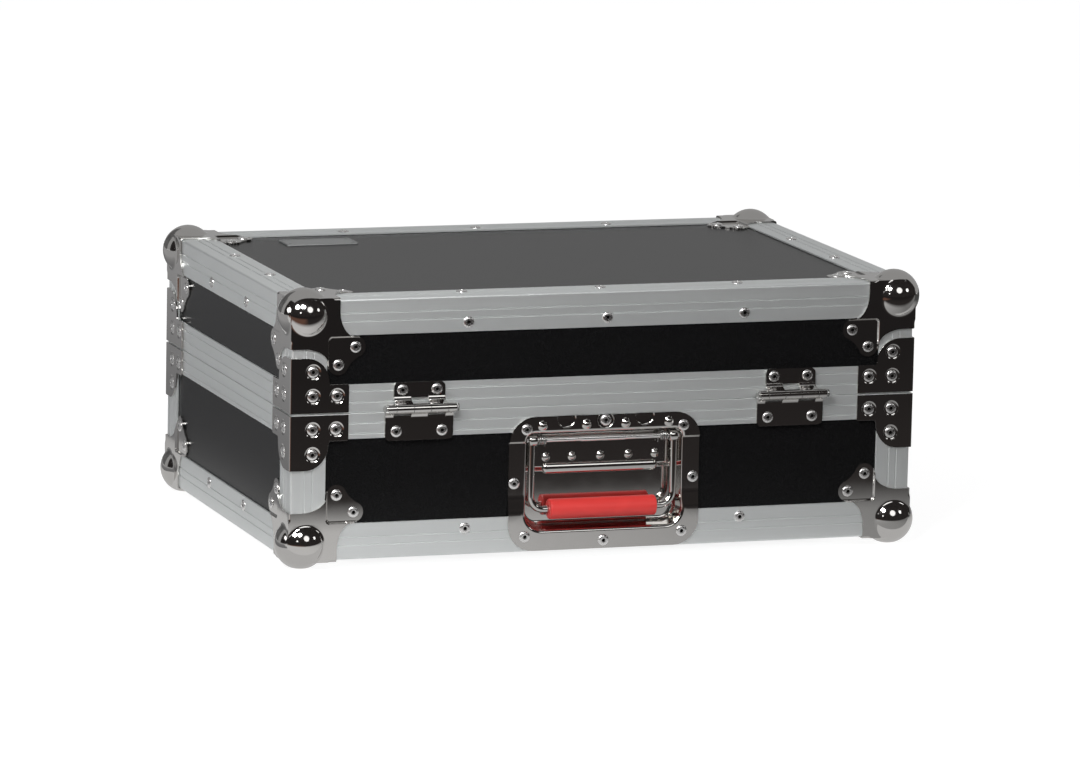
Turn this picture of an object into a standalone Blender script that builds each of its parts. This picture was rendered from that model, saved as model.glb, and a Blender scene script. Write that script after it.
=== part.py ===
"""Flight case for a 19-inch dj mixer.

A plywood box in two halves, edged in aluminium angle, with ball corners,
corner braces, two stop hinges, a recessed sprung handle on the hinge side
and two recessed twist latches on the other side.

The hinge side faces -Y and the lid is up, +Z. The origin is at the centre
of the bounding box, on the ground under the ball corners. Each half is
built in a frame whose z runs from its outer face to the joint between the
halves, so one set of functions makes the base and the lid. A side frame
has x along the side and y from its outer face inwards.
"""

import math

import bmesh
import bpy
from mathutils import Matrix, Vector

# Case, over its edge angles
CASE_WIDTH = 0.540
CASE_DEPTH = 0.372
BASE_WALL_SHOWN = 0.070
LID_WALL_SHOWN = 0.0405
PLY = 0.009
FOAM = 0.010
GAP = 0.0003

# Aluminium edge angle
ANGLE_LEG = 0.030
ANGLE_WALL = 0.0015
ANGLE_ROUND = 0.0018

# Rims that close the two halves, with a tongue below and a groove above
BASE_RIM = 0.0215
LID_RIM = 0.0235
RIM_INNER_FLANGE = 0.014
BASE_RIM_WEB = 0.004
TONGUE_SETBACK = 0.005
TONGUE_WIDTH = 0.003
TONGUE_HEIGHT = 0.004
GROOVE_CLEARANCE = 0.001
GROOVE_ROOF = 0.002

# Pressed steel ball corners
BALL_RADIUS = 0.0215
BALL_PROUD = 0.0085
SHEET = 0.0012
STEP_RUN = 0.0015
CORNER_LEG = 0.040
CORNER_LEG_STRAIGHT = 0.009
LOBE_REACH = 0.054
LOBE_HEIGHT = 0.0395
LOBE_RADIUS = 0.0085
LOBE_SADDLE = 0.0515
LOBE_START = -70
LOBE_END = 75
TIP_CUT = 0.010
POST_TRIM = 0.008
POST_LAP = 0.010

# Corner braces at the joint
BRACE_ARM = 0.0484
BRACE_LENGTH = 0.0455
BRACE_LEG = 0.0315
BRACE_TIP = 0.012
BRACE_SHOULDER = 0.0025

# Stop hinges
HINGE_FROM_EDGE = 0.1085
HINGE_PIN_OUT = 0.008
HINGE_PIN_RISE = 0.0035
HINGE_PIN_RADIUS = 0.0021
PIN_HEAD_RADIUS = 0.00325
PIN_HEAD_THICKNESS = 0.001
HINGE_BORE_RADIUS = 0.0025
KNUCKLE_RADIUS = 0.004
HINGE_SHEET = 0.002
BASE_LEAF_WIDTH = 0.0583
BASE_LEAF_BOTTOM = 0.0238
BASE_LEAF_TOP = 0.0033
LID_LEAF_WIDTH = 0.0440
LID_LEAF_BOTTOM = 0.0115
LID_LEAF_TOP = 0.0243
LEAF_CORNER = 0.0045
ARM_FAR_ANGLE = 117
ARM_NEAR_ANGLE = 45
KNUCKLE_MIDDLE = 0.0141
KNUCKLE_LID = 0.0144
KNUCKLE_END = 0.0085
KNUCKLE_GAP = 0.0004

# Recessed handle
HANDLE_WIDTH = 0.166
HANDLE_BOTTOM = 0.0006
HANDLE_BELOW_JOINT = 0.0087
HANDLE_CORNER = 0.022
RECESS_WIDTH = 0.136
RECESS_BOTTOM = 0.018
RECESS_BELOW_TOP = 0.0143
RECESS_CORNER = 0.014
RECESS_TOP_CORNER = 0.005
RECESS_DEPTH = 0.015
RECESS_DRAFT = 0.0015
RECESS_FILLET = 0.003
LEDGE_DEPTH = 0.0115
LEDGE_HEIGHT = 0.068
LEDGE_RUN = 0.003
HANDLE_TOP_RUN = 0.0084
HANDLE_BOTTOM_RUN = 0.0044
PIVOT_BELOW_RECESS = 0.0063
PIVOT_DEPTH = 0.005
ROD_RADIUS = 0.002
ROD_THICK_RADIUS = 0.0024
ROD_THICK_LENGTH = 0.037
EYE_RADIUS = 0.0046
EYE_WIDTH = 0.005
EYE_OFFSET = 0.060
EYE_BORE_CLEARANCE = 0.0003
BAIL_RADIUS = 0.003
BAIL_OFFSET = 0.062
BAIL_BEND = 0.011
GRIP_HEIGHT = 0.034
GRIP_RADIUS = 0.0085
GRIP_LENGTH = 0.0926
SPRING_WIRE = 0.0012
SPRING_RADIUS = 0.0033
SPRING_TURNS = 4
SPRING_SPACE = 0.0005
SPRING_LEG = 0.006
SPRING_END_GAP = 0.0006
SPRING_POINTS = 9

# Recessed twist latches
LATCH_FROM_EDGE = 0.130
LATCH_WIDTH = 0.078
LATCH_HEIGHT = 0.058
LATCH_CORNER = 0.010
KEEPER_HEIGHT = 0.0232
LATCH_OPENING_WIDTH = 0.054
LATCH_OPENING_HEIGHT = 0.048
KEEPER_OPENING_HEIGHT = 0.016
LATCH_OPENING_CORNER = 0.006
LATCH_DEPTH = 0.0095
LATCH_STEP_RUN = 0.0049
LIP_WIDTH = 0.022
LIP_RISE = 0.003
LIP_THICKNESS = 0.0015
SPINDLE_DROP = 0.027
SPINDLE_RADIUS = 0.0036
SPINDLE_HEAD_RADIUS = 0.011
SPINDLE_HEAD_THICKNESS = 0.0007
CAM_RADIUS = 0.009
CAM_OFFSET = 0.0025
CAM_THICKNESS = 0.0011
WING_AXIS_DEPTH = 0.0006
WING_BARREL_RADIUS = 0.0018
WING_BARREL_LENGTH = 0.0156
WING_BORE_RADIUS = 0.00105
WING_PIN_RADIUS = 0.0008
WING_EAR = 0.0018
WING_WIDTH = 0.030
WING_LENGTH = 0.019
WING_THICKNESS = 0.0014
WING_SHOULDER = 0.0012
HOOK_WIDTH = 0.020
HOOK_TOP_WIDTH = 0.018
HOOK_THICKNESS = 0.0012
HOOK_NOSE = 0.0018
HOOK_NOSE_THICKNESS = 0.0015
HOOK_DRAW = 0.005
HOOK_INWARD = 0.0024
HOOK_TAIL = 0.013

# Faceting
BALL_SEGMENTS = 16
ROUND_SEGMENTS = 16
SMALL_SEGMENTS = 12
CORNER_STEPS = 4
HALF_TURN_STEPS = 8
EDGE_STEPS = 2
SHARP_ANGLE = math.radians(30)
FLAT_ANGLE = math.radians(0.2)
WELD = 0.000005

# Places worked out from the sizes above
BASE_HEIGHT = ANGLE_LEG + BASE_WALL_SHOWN + BASE_RIM
LID_HEIGHT = ANGLE_LEG + LID_WALL_SHOWN + LID_RIM
CASE_HEIGHT = BASE_HEIGHT + LID_HEIGHT
HINGE_SPACING = CASE_WIDTH - 2 * HINGE_FROM_EDGE
LATCH_SPACING = CASE_WIDTH - 2 * LATCH_FROM_EDGE
PANEL_INSET = ANGLE_WALL + GAP
WALL_INNER = PANEL_INSET + PLY
CHANNEL_INNER = WALL_INNER + GAP
RIM_DEPTH = CHANNEL_INNER + ANGLE_WALL
MITRE_GAP = GAP / 2 * math.sqrt(2)
BALL_CENTRE = BALL_RADIUS - BALL_PROUD
PLATE_OUT = GAP + SHEET
FRONT_REACH = max(BALL_PROUD, HINGE_PIN_OUT + KNUCKLE_RADIUS)
CASE_Y = (FRONT_REACH - BALL_PROUD) / 2
SEAM_Z = BALL_PROUD + BASE_HEIGHT
HANDLE_TOP = BASE_HEIGHT - HANDLE_BELOW_JOINT
RECESS_TOP = HANDLE_TOP - RECESS_BELOW_TOP
PIVOT_HEIGHT = RECESS_TOP - PIVOT_BELOW_RECESS
SPRING_PITCH = SPRING_WIRE + SPRING_SPACE
SPRING_OFFSET = (EYE_OFFSET - EYE_WIDTH / 2 - SPRING_END_GAP
                 - (SPRING_TURNS * SPRING_PITCH + SPRING_WIRE) / 2)
PIN_Y = CASE_Y - CASE_DEPTH / 2 - HINGE_PIN_OUT
PIN_Z = SEAM_Z + HINGE_PIN_RISE
LATCH_HOLE_HALF = LATCH_OPENING_WIDTH / 2 + SHEET + GAP
SIDES = ("front", "right", "back", "left")


def arc(centre, radius, start, end, steps):
    """Points on an arc of a circle or, with two radii, of an ellipse."""
    rx, ry = radius if isinstance(radius, tuple) else (radius, radius)
    angles = [math.radians(start + (end - start) * i / steps) for i in range(steps + 1)]
    return [(centre[0] + rx * math.cos(a), centre[1] + ry * math.sin(a)) for a in angles]


def rounded_rectangle(left, right, low, high, radius, top_radius, steps=CORNER_STEPS):
    """Outline of a rectangle with round corners, anticlockwise."""
    outline = []
    for x, y, r, start in ((right, low, radius, -90), (right, high, top_radius, 0),
                           (left, high, top_radius, 90), (left, low, radius, 180)):
        centre = (x - math.copysign(r, x), y + math.copysign(r, (low + high) / 2 - y))
        outline += arc(centre, r, start, start + 90, steps)
    return outline


def on_plane(point, axis, height):
    """A point of a flat outline, in space: the axis is the plane's normal."""
    a, b = point
    return {"X": (height, a, b), "Y": (a, height, b), "Z": (a, b, height)}[axis]


def finished(bm, name):
    """A mesh from a bmesh, with its faces pointing outwards."""
    bmesh.ops.recalc_face_normals(bm, faces=bm.faces)
    mesh = bpy.data.meshes.new(name)
    bm.to_mesh(mesh)
    bm.free()
    return mesh


def prism(outline, axis, low, high, name="prism"):
    """A solid that runs along an axis with a constant outline."""
    bm = bmesh.new()
    face = bm.faces.new([bm.verts.new(on_plane(p, axis, low)) for p in outline])
    grown = bmesh.ops.extrude_face_region(bm, geom=[face])["geom"]
    run = Vector(on_plane((0, 0), axis, high - low))
    bmesh.ops.translate(bm, vec=run, verts=[v for v in grown if isinstance(v, bmesh.types.BMVert)])
    return finished(bm, name)


def swept(outline, stations, name):
    """A solid through copies of one outline: each station places its points in space."""
    bm = bmesh.new()
    loops = [[bm.verts.new(station(a, b)) for a, b in outline] for station in stations]
    for first, second in zip(loops, loops[1:]):
        for i in range(len(outline)):
            bm.faces.new((first[i - 1], first[i], second[i], second[i - 1]))
    bm.faces.new(loops[0])
    bm.faces.new(loops[-1])
    return finished(bm, name)


def block(low, high, name="block"):
    """A rectangular solid between two corners."""
    outline = [(low[0], low[1]), (high[0], low[1]), (high[0], high[1]), (low[0], high[1])]
    return prism(outline, "Z", low[2], high[2], name)


def round_bar(profile, axis, centre=(0, 0), segments=ROUND_SEGMENTS, name="bar"):
    """A solid turned about an axis: the profile lists (place along it, radius)."""
    bm = bmesh.new()
    points = [(profile[0][0], 0.0)] + list(profile) + [(profile[-1][0], 0.0)]
    verts = [bm.verts.new((r, 0, along)) for along, r in points]
    edges = [bm.edges.new(pair) for pair in zip(verts, verts[1:])]
    bmesh.ops.spin(bm, geom=verts + edges, cent=(0, 0, 0), axis=(0, 0, 1),
                   angle=math.tau, steps=segments, use_merge=True)
    bmesh.ops.remove_doubles(bm, verts=bm.verts, dist=WELD)
    turn = {"X": Matrix.Rotation(math.pi / 2, 3, "Y"), "Z": Matrix.Identity(3),
            "Y": Matrix.Rotation(-math.pi / 2, 3, "X")}[axis]
    bmesh.ops.transform(bm, matrix=turn.to_4x4(), verts=bm.verts)
    bmesh.ops.translate(bm, vec=on_plane(centre, axis, 0), verts=bm.verts)
    return finished(bm, name)


def tube(low, high, outer, inner, centre, name="tube"):
    """A round tube along X."""
    return carved(round_bar([(low, outer), (high, outer)], "X", centre),
                  ("DIFFERENCE", round_bar([(low - outer, inner), (high + outer, inner)], "X", centre)),
                  name=name)


def evaluated(item):
    """The mesh of an object with its modifiers applied."""
    graph = bpy.context.evaluated_depsgraph_get()
    return bpy.data.meshes.new_from_object(item.evaluated_get(graph))


def carved(mesh, *steps, name=None):
    """A mesh joined with, or cut by, others: each step is (operation, mesh)."""
    item = bpy.data.objects.new("workpiece", mesh)
    bpy.context.collection.objects.link(item)
    tools = []
    for operation, tool_mesh in steps:
        tool = bpy.data.objects.new("tool", tool_mesh)
        bpy.context.collection.objects.link(tool)
        tool.hide_render = True
        tool.display_type = "WIRE"
        cut = item.modifiers.new(operation, "BOOLEAN")
        cut.operation = operation
        cut.solver = "EXACT"
        cut.object = tool
        tools.append(tool)
    result = evaluated(item)
    for used in tools + [item]:
        bpy.data.objects.remove(used)
    bm = bmesh.new()
    bm.from_mesh(result)
    bmesh.ops.remove_doubles(bm, verts=bm.verts, dist=WELD)
    bmesh.ops.dissolve_degenerate(bm, edges=bm.edges, dist=WELD)
    bmesh.ops.dissolve_limit(bm, angle_limit=FLAT_ANGLE, verts=bm.verts, edges=bm.edges)
    bm.to_mesh(result)
    bm.free()
    result.name = name or mesh.name
    return result


def moved(mesh, matrix, name=None):
    """A copy of a mesh, moved."""
    copy = mesh.copy()
    copy.transform(matrix)
    copy.name = name or mesh.name
    return copy


def finish(name, colour, roughness, metallic=0.0):
    """A plain material."""
    material = bpy.data.materials.new(name)
    material.use_nodes = True
    shader = material.node_tree.nodes["Principled BSDF"]
    shader.inputs["Base Color"].default_value = (*colour, 1.0)
    shader.inputs["Roughness"].default_value = roughness
    shader.inputs["Metallic"].default_value = metallic
    return material


def axis_empty(name, world, parent=None):
    """An empty that a moving group hangs from; its place is on the joint's axis."""
    empty = bpy.data.objects.new(name, None)
    bpy.context.collection.objects.link(empty)
    return seated(empty, world, parent)


def seated(item, world, parent=None):
    """Give an object its place in the world, under its parent."""
    local = PLACES[parent.name].inverted() @ world if parent else world
    item.parent = parent
    item.location = local.to_translation()
    item.rotation_euler = local.to_euler()
    PLACES[item.name] = world
    return item


def place(name, mesh, look, world, parent=None, smooth=False):
    """Link one named solid, with a material of its own."""
    mesh = mesh.copy()
    mesh.name = name
    material = look.copy()
    material.name = name + "_" + look.name
    mesh.materials.clear()
    mesh.materials.append(material)
    if smooth:
        mesh.shade_smooth()
        mesh.set_sharp_from_angle(angle=SHARP_ANGLE)
    item = bpy.data.objects.new(name, mesh)
    bpy.context.collection.objects.link(item)
    return seated(item, world, parent)


def side_frame_matrix(side):
    """From a side's frame to the half's frame."""
    turn = {"front": 0, "right": 90, "back": 180, "left": 270}[side]
    out = {"front": (0, -CASE_DEPTH / 2), "right": (CASE_WIDTH / 2, 0),
           "back": (0, CASE_DEPTH / 2), "left": (-CASE_WIDTH / 2, 0)}[side]
    return Matrix.Translation((*out, 0)) @ Matrix.Rotation(math.radians(turn), 4, "Z")


def corner_frame_matrix(index):
    """From a corner's frame, whose axes point into the case, to the half's frame."""
    x = CASE_WIDTH / 2 * (-1, 1, 1, -1)[index]
    y = CASE_DEPTH / 2 * (-1, -1, 1, 1)[index]
    return Matrix.Translation((x, y, 0)) @ Matrix.Rotation(math.radians(90 * index), 4, "Z")


def corner_name(world):
    """The name of a corner, seen from the hinge side."""
    x, y, _ = world.to_translation()
    return ("back" if y > CASE_Y else "front") + "_" + ("right" if x > 0 else "left")


def side_name(world, side):
    """The name of a side: a turned half swaps left and right."""
    if side in ("front", "back"):
        return side
    return "right" if world.to_translation().x > 0 else "left"


def angle_outline():
    """Section of the edge angle, corner at the origin."""
    leg, wall, r = ANGLE_LEG, ANGLE_WALL, ANGLE_ROUND
    outline = arc((r, r), r, 180, 270, EDGE_STEPS)
    return outline + [(leg, 0), (leg, wall), (wall, wall), (wall, leg), (0, leg)]


def edge_angle():
    """Edge angle along the front or the back, between the posts."""
    half = CASE_WIDTH / 2 - ANGLE_LEG - GAP
    return prism(angle_outline(), "X", -half, half, "edge_angle")


def side_frame(height, rim):
    """Edge angle along one side, with the post at each of its ends."""
    half = CASE_DEPTH / 2
    run = half - ANGLE_LEG + POST_LAP
    frame = prism(angle_outline(), "X", -run, run)
    left_post = [(x - half, y) for x, y in angle_outline()]
    right_post = [(half - x, y) for x, y in angle_outline()]
    top = height - rim - GAP
    return carved(frame, ("UNION", prism(left_post, "Z", POST_TRIM, top)),
                  ("UNION", prism(right_post, "Z", POST_TRIM, top)), name="side_frame")


def latch_notches(height, opening_height):
    """Blocks that clear the two latches through the wall at the back."""
    notches = []
    for sign in (-1, 1):
        x = sign * LATCH_SPACING / 2
        low = (x - LATCH_HOLE_HALF, CASE_DEPTH / 2 - WALL_INNER - PLY,
               height - opening_height - SHEET - GAP)
        high = (x + LATCH_HOLE_HALF, CASE_DEPTH / 2 + PLY, height + ANGLE_LEG)
        notches.append(("DIFFERENCE", block(low, high)))
    return notches


def handle_hole(depth):
    """Block that clears the handle's pan at the front, down to a depth."""
    half = RECESS_WIDTH / 2 + SHEET + GAP
    return block((-half, -CASE_DEPTH / 2 - ANGLE_LEG, RECESS_BOTTOM - SHEET - GAP),
                 (half, -CASE_DEPTH / 2 + depth, RECESS_TOP + SHEET + GAP))


def ring_and_hollow(outer, thickness, low, high):
    """Blocks of a rectangular ring: its outside, and the hollow through it."""
    x, y = CASE_WIDTH / 2 - outer, CASE_DEPTH / 2 - outer
    hollow_x, hollow_y = x - thickness, y - thickness
    return (block((-x, -y, low), (x, y, high)),
            block((-hollow_x, -hollow_y, low - PLY), (hollow_x, hollow_y, high + PLY)))


def wall_ring(height, web, opening_height, with_handle):
    """The four plywood walls, glued at their corners."""
    outside, hollow = ring_and_hollow(PANEL_INSET, PLY, PANEL_INSET, height - web - GAP)
    cuts = latch_notches(height, opening_height)
    if with_handle:
        cuts.append(("DIFFERENCE", handle_hole(WALL_INNER + PLY)))
    return carved(outside, ("DIFFERENCE", hollow), *cuts, name="wall_ring")


def panel():
    """Plywood floor or top, inside the walls."""
    x, y = CASE_WIDTH / 2 - CHANNEL_INNER, CASE_DEPTH / 2 - CHANNEL_INNER
    return block((-x, -y, PANEL_INSET), (x, y, WALL_INNER), "panel")


def foam_liner(height, with_handle):
    """Foam tray on the floor and round the walls."""
    top = height - RIM_INNER_FLANGE - GAP
    x, y = CASE_WIDTH / 2 - CHANNEL_INNER, CASE_DEPTH / 2 - CHANNEL_INNER
    tray = block((-x, -y, CHANNEL_INNER), (x, y, top))
    hollow = block((-x + FOAM, -y + FOAM, CHANNEL_INNER + FOAM), (x - FOAM, y - FOAM, height))
    cuts = [("DIFFERENCE", hollow)]
    if with_handle:
        cuts.append(("DIFFERENCE", handle_hole(RECESS_DEPTH + SHEET + GAP)))
    return carved(tray, *cuts, name="foam_liner")


def rim_outline(height, rim, tongue):
    """Section of a rim: a channel over the wall's edge, with a tongue or a groove."""
    top = height - GAP / 2
    far = RIM_DEPTH
    near = TONGUE_SETBACK
    if tongue:
        roof = top - BASE_RIM_WEB
        detail = [(near + TONGUE_WIDTH, top), (near + TONGUE_WIDTH, top + TONGUE_HEIGHT),
                  (near, top + TONGUE_HEIGHT), (near, top)]
    else:
        floor = top - TONGUE_HEIGHT - GROOVE_CLEARANCE
        roof = floor - GROOVE_ROOF
        detail = [(near + TONGUE_WIDTH + GROOVE_CLEARANCE, top),
                  (near + TONGUE_WIDTH + GROOVE_CLEARANCE, floor),
                  (near - GROOVE_CLEARANCE, floor), (near - GROOVE_CLEARANCE, top)]
    lower = height - RIM_INNER_FLANGE
    return [(0, height - rim), (ANGLE_WALL, height - rim), (ANGLE_WALL, roof),
            (CHANNEL_INNER, roof), (CHANNEL_INNER, lower), (far, lower), (far, top),
            *detail, (0, top)]


def front_rim(outline):
    """The rim along the front, mitred at both ends."""
    x, y = CASE_WIDTH / 2 - MITRE_GAP, -CASE_DEPTH / 2
    return swept(outline, [lambda depth, z: (depth - x, y + depth, z),
                           lambda depth, z: (x - depth, y + depth, z)], "rim")


def side_rim(outline, sign):
    """The rim along a side, mitred at the front, and on round the corner to the latch."""
    x, y = CASE_WIDTH / 2, CASE_DEPTH / 2
    end = sign * (LATCH_SPACING / 2 + LATCH_HOLE_HALF)
    return swept(outline, [lambda depth, z: (sign * (x - depth), MITRE_GAP + depth - y, z),
                           lambda depth, z: (sign * (x - depth), y - depth, z),
                           lambda depth, z: (end, y - depth, z)], "rim")


def back_rim(outline):
    """The rim along the back, between the latches."""
    x, y = LATCH_SPACING / 2 - LATCH_HOLE_HALF, CASE_DEPTH / 2
    return swept(outline, [lambda depth, z: (-x, y - depth, z), lambda depth, z: (x, y - depth, z)],
                 "rim")


def lid_web():
    """Depth of the lid rim from the joint to the edge of the wall."""
    return GAP / 2 + TONGUE_HEIGHT + GROOVE_CLEARANCE + GROOVE_ROOF


def ball_plate_outline():
    """Outline of one plate of a ball corner: legs along both edges and two lobes."""
    start, straight = CORNER_LEG, CORNER_LEG_STRAIGHT
    rise = LOBE_HEIGHT - LOBE_RADIUS - straight
    sweep = arc((LOBE_REACH, straight), (LOBE_REACH - start, rise), 180, 90, CORNER_STEPS)
    lobe = arc((LOBE_REACH, LOBE_HEIGHT), LOBE_RADIUS, LOBE_START, LOBE_END, CORNER_STEPS)
    half = sweep + lobe
    mirrored = [(y, x) for x, y in reversed(half)]
    out = -PLATE_OUT
    return [(out, out), (start, out)] + half + [(LOBE_SADDLE, LOBE_SADDLE)] + mirrored + [(out, start)]


def ball_plate():
    """Plate on the face z = 0: its lobes step down to the panel beside the angle."""
    bm = bmesh.new()
    bm.faces.new([bm.verts.new((x, y, -GAP)) for x, y in ball_plate_outline()])
    begin = ANGLE_LEG + GAP
    for edge in (begin, begin + STEP_RUN):
        for normal in ((1, 0, 0), (0, 1, 0)):
            place_on = Vector(normal) * edge
            bmesh.ops.bisect_plane(bm, geom=bm.verts[:] + bm.edges[:] + bm.faces[:],
                                   plane_co=place_on, plane_no=normal)
    for vertex in bm.verts:
        inside = (min(vertex.co.x, vertex.co.y) - begin) / STEP_RUN
        vertex.co.z += PANEL_INSET * max(0.0, min(1.0, inside))
    grown = bmesh.ops.extrude_face_region(bm, geom=bm.faces[:])["geom"]
    new_verts = [v for v in grown if isinstance(v, bmesh.types.BMVert)]
    bmesh.ops.translate(bm, vec=(0, 0, -SHEET), verts=new_verts)
    return finished(bm, "ball_plate")


def sphere(radius, segments, name="sphere"):
    """A ball round the centre of the corner's dome."""
    bm = bmesh.new()
    bmesh.ops.create_uvsphere(bm, u_segments=segments, v_segments=segments // 2, radius=radius)
    bmesh.ops.translate(bm, vec=(BALL_CENTRE,) * 3, verts=bm.verts)
    return finished(bm, name)


def corner_tip():
    """Block that takes the plates' common corner away, under the ball."""
    inwards = Vector((1, 1, 1)).to_track_quat("Z", "Y").to_matrix().to_4x4()
    cut = Vector((TIP_CUT - PLATE_OUT, -PLATE_OUT, -PLATE_OUT))
    level = cut.dot(Vector((1, 1, 1)).normalized())
    size = 2 * CORNER_LEG
    tool = block((-size, -size, -size), (size, size, level), "tip")
    return moved(tool, inwards)


def ball_corner():
    """Three plates round a pressed dome, open towards the case."""
    third = Matrix(((0, 0, 1, 0), (1, 0, 0, 0), (0, 1, 0, 0), (0, 0, 0, 1)))
    plates = [ball_plate()]
    plates.append(moved(plates[0], third))
    plates.append(moved(plates[0], third @ third))
    plates = carved(plates[0], ("UNION", plates[1]), ("UNION", plates[2]),
                    ("DIFFERENCE", corner_tip()))
    case = block((-GAP,) * 3, (CORNER_LEG + LOBE_REACH,) * 3)
    dome = carved(sphere(BALL_RADIUS, BALL_SEGMENTS), ("DIFFERENCE", case))
    hollow = sphere(BALL_RADIUS - SHEET, BALL_SEGMENTS)
    return carved(dome, ("UNION", plates), ("DIFFERENCE", hollow), name="ball_corner")


def corner_brace(height, rim):
    """An L-shaped plate round the corner, from the joint down the post."""
    top = height - GAP / 2
    shoulder = top - rim - BRACE_SHOULDER
    tip = top - BRACE_LENGTH
    curve = arc((BRACE_TIP, shoulder), (BRACE_LEG - BRACE_TIP, shoulder - tip), 0, -90, CORNER_STEPS)
    edge = [(BRACE_ARM, top), (BRACE_ARM, top - rim)] + curve
    back = -PLATE_OUT
    first = prism([(back, top)] + edge + [(back, tip)], "Y", -PLATE_OUT, -GAP)
    second = prism([(back, top)] + edge + [(back, tip)], "X", -PLATE_OUT, -GAP)
    return carved(first, ("UNION", second), name="corner_brace")


def build_half(prefix, height, rim, tongue, frame, parent, looks):
    """The box, angles, rims, corners, braces and foam of the base or the lid."""
    web = BASE_RIM_WEB + GAP / 2 if tongue else lid_web()
    opening = LATCH_OPENING_HEIGHT if tongue else KEEPER_OPENING_HEIGHT
    place(prefix + ("_floor_panel" if tongue else "_top_panel"), panel(), looks["ply"], frame, parent)
    place(prefix + "_wall_ring", wall_ring(height, web, opening, tongue), looks["ply"], frame, parent)
    place(prefix + "_foam_liner", foam_liner(height, tongue), looks["foam"], frame, parent)
    angle = edge_angle()
    frames = side_frame(height, rim)
    section = rim_outline(height, rim, tongue)
    rims = {"front": front_rim(section), "right": side_rim(section, 1),
            "back": back_rim(section), "left": side_rim(section, -1)}
    for side in SIDES:
        world = frame @ side_frame_matrix(side)
        label = side_name(world, side)
        if side in ("front", "back"):
            mesh = angle
            if side == "front" and tongue:
                to_half = side_frame_matrix(side).inverted()
                mesh = carved(angle, ("DIFFERENCE", moved(handle_hole(ANGLE_LEG), to_half)))
            place(f"{prefix}_edge_{label}", mesh, looks["aluminium"], world, parent, True)
        else:
            place(f"{prefix}_side_frame_{label}", frames, looks["aluminium"], world, parent, True)
        place(f"{prefix}_rim_{label}", rims[side], looks["aluminium"], frame, parent)
    corner = ball_corner()
    brace = corner_brace(height, rim)
    for index in range(4):
        world = frame @ corner_frame_matrix(index)
        label = corner_name(world)
        place(f"{prefix}_ball_corner_{label}", corner, looks["chrome"], world, parent, True)
        place(f"{prefix}_brace_{label}", brace, looks["chrome"], world, parent)


def leaf_plate(width, low, high, round_low):
    """Flat part of a hinge leaf, with two round corners away from the joint."""
    half = width / 2
    r = LEAF_CORNER
    if round_low:
        outline = [(-half, high)] + arc((-half + r, low + r), r, 180, 270, CORNER_STEPS)
        outline += arc((half - r, low + r), r, 270, 360, CORNER_STEPS) + [(half, high)]
    else:
        outline = [(half, low)] + arc((half - r, high - r), r, 0, 90, CORNER_STEPS)
        outline += arc((-half + r, high - r), r, 90, 180, CORNER_STEPS) + [(-half, low)]
    return prism(outline, "Y", -GAP - HINGE_SHEET, -GAP)


def knuckle_spans(lid):
    """Where the knuckles of a leaf lie along the pin."""
    inner = KNUCKLE_MIDDLE / 2
    lid_start = inner + KNUCKLE_GAP
    lid_end = lid_start + KNUCKLE_LID
    if lid:
        return [(-lid_end, -lid_start), (lid_start, lid_end)]
    end_start = lid_end + KNUCKLE_GAP
    end_stop = end_start + KNUCKLE_END
    return [(-end_stop, -end_start), (-inner, inner), (end_start, end_stop)]


def hinge_leaf(lid):
    """One leaf: a riveted plate, arms that bend out to the pin, and knuckles."""
    pin = (-HINGE_PIN_OUT, HINGE_PIN_RISE)
    turn = 1 if lid else -1
    tip_angles = (ARM_FAR_ANGLE * turn, ARM_NEAR_ANGLE * turn)
    tips = [arc(pin, KNUCKLE_RADIUS, a, a, 1)[0] for a in tip_angles]
    if lid:
        plate = leaf_plate(LID_LEAF_WIDTH, LID_LEAF_BOTTOM, LID_LEAF_TOP, False)
        half, root, edge = LID_LEAF_WIDTH / 2, LID_LEAF_BOTTOM, LID_LEAF_BOTTOM + HINGE_SHEET
    else:
        plate = leaf_plate(BASE_LEAF_WIDTH, -BASE_LEAF_BOTTOM, -BASE_LEAF_TOP, True)
        half, root, edge = BASE_LEAF_WIDTH / 2, -BASE_LEAF_TOP, -BASE_LEAF_TOP - HINGE_SHEET
    arm = [(-GAP, root), (-GAP, edge), (-GAP - HINGE_SHEET, edge), tips[0], tips[1]]
    steps = []
    for low, high in knuckle_spans(lid):
        steps.append(("UNION", prism(arm, "X", max(low, -half), min(high, half))))
        steps.append(("UNION", round_bar([(low, KNUCKLE_RADIUS), (high, KNUCKLE_RADIUS)], "X", pin)))
    bore = round_bar([(-BASE_LEAF_WIDTH, HINGE_BORE_RADIUS), (BASE_LEAF_WIDTH, HINGE_BORE_RADIUS)],
                     "X", pin)
    return carved(plate, *steps, ("DIFFERENCE", bore), name="hinge_leaf")


def hinge_pin():
    """Pin with a flat head at each end."""
    end = knuckle_spans(False)[2][1] + GAP
    head = end + PIN_HEAD_THICKNESS
    wide = PIN_HEAD_RADIUS
    profile = [(-head, wide), (-end, wide), (-end, HINGE_PIN_RADIUS),
               (end, HINGE_PIN_RADIUS), (end, wide), (head, wide)]
    return round_bar(profile, "X", (-HINGE_PIN_OUT, HINGE_PIN_RISE), name="hinge_pin")


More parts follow.
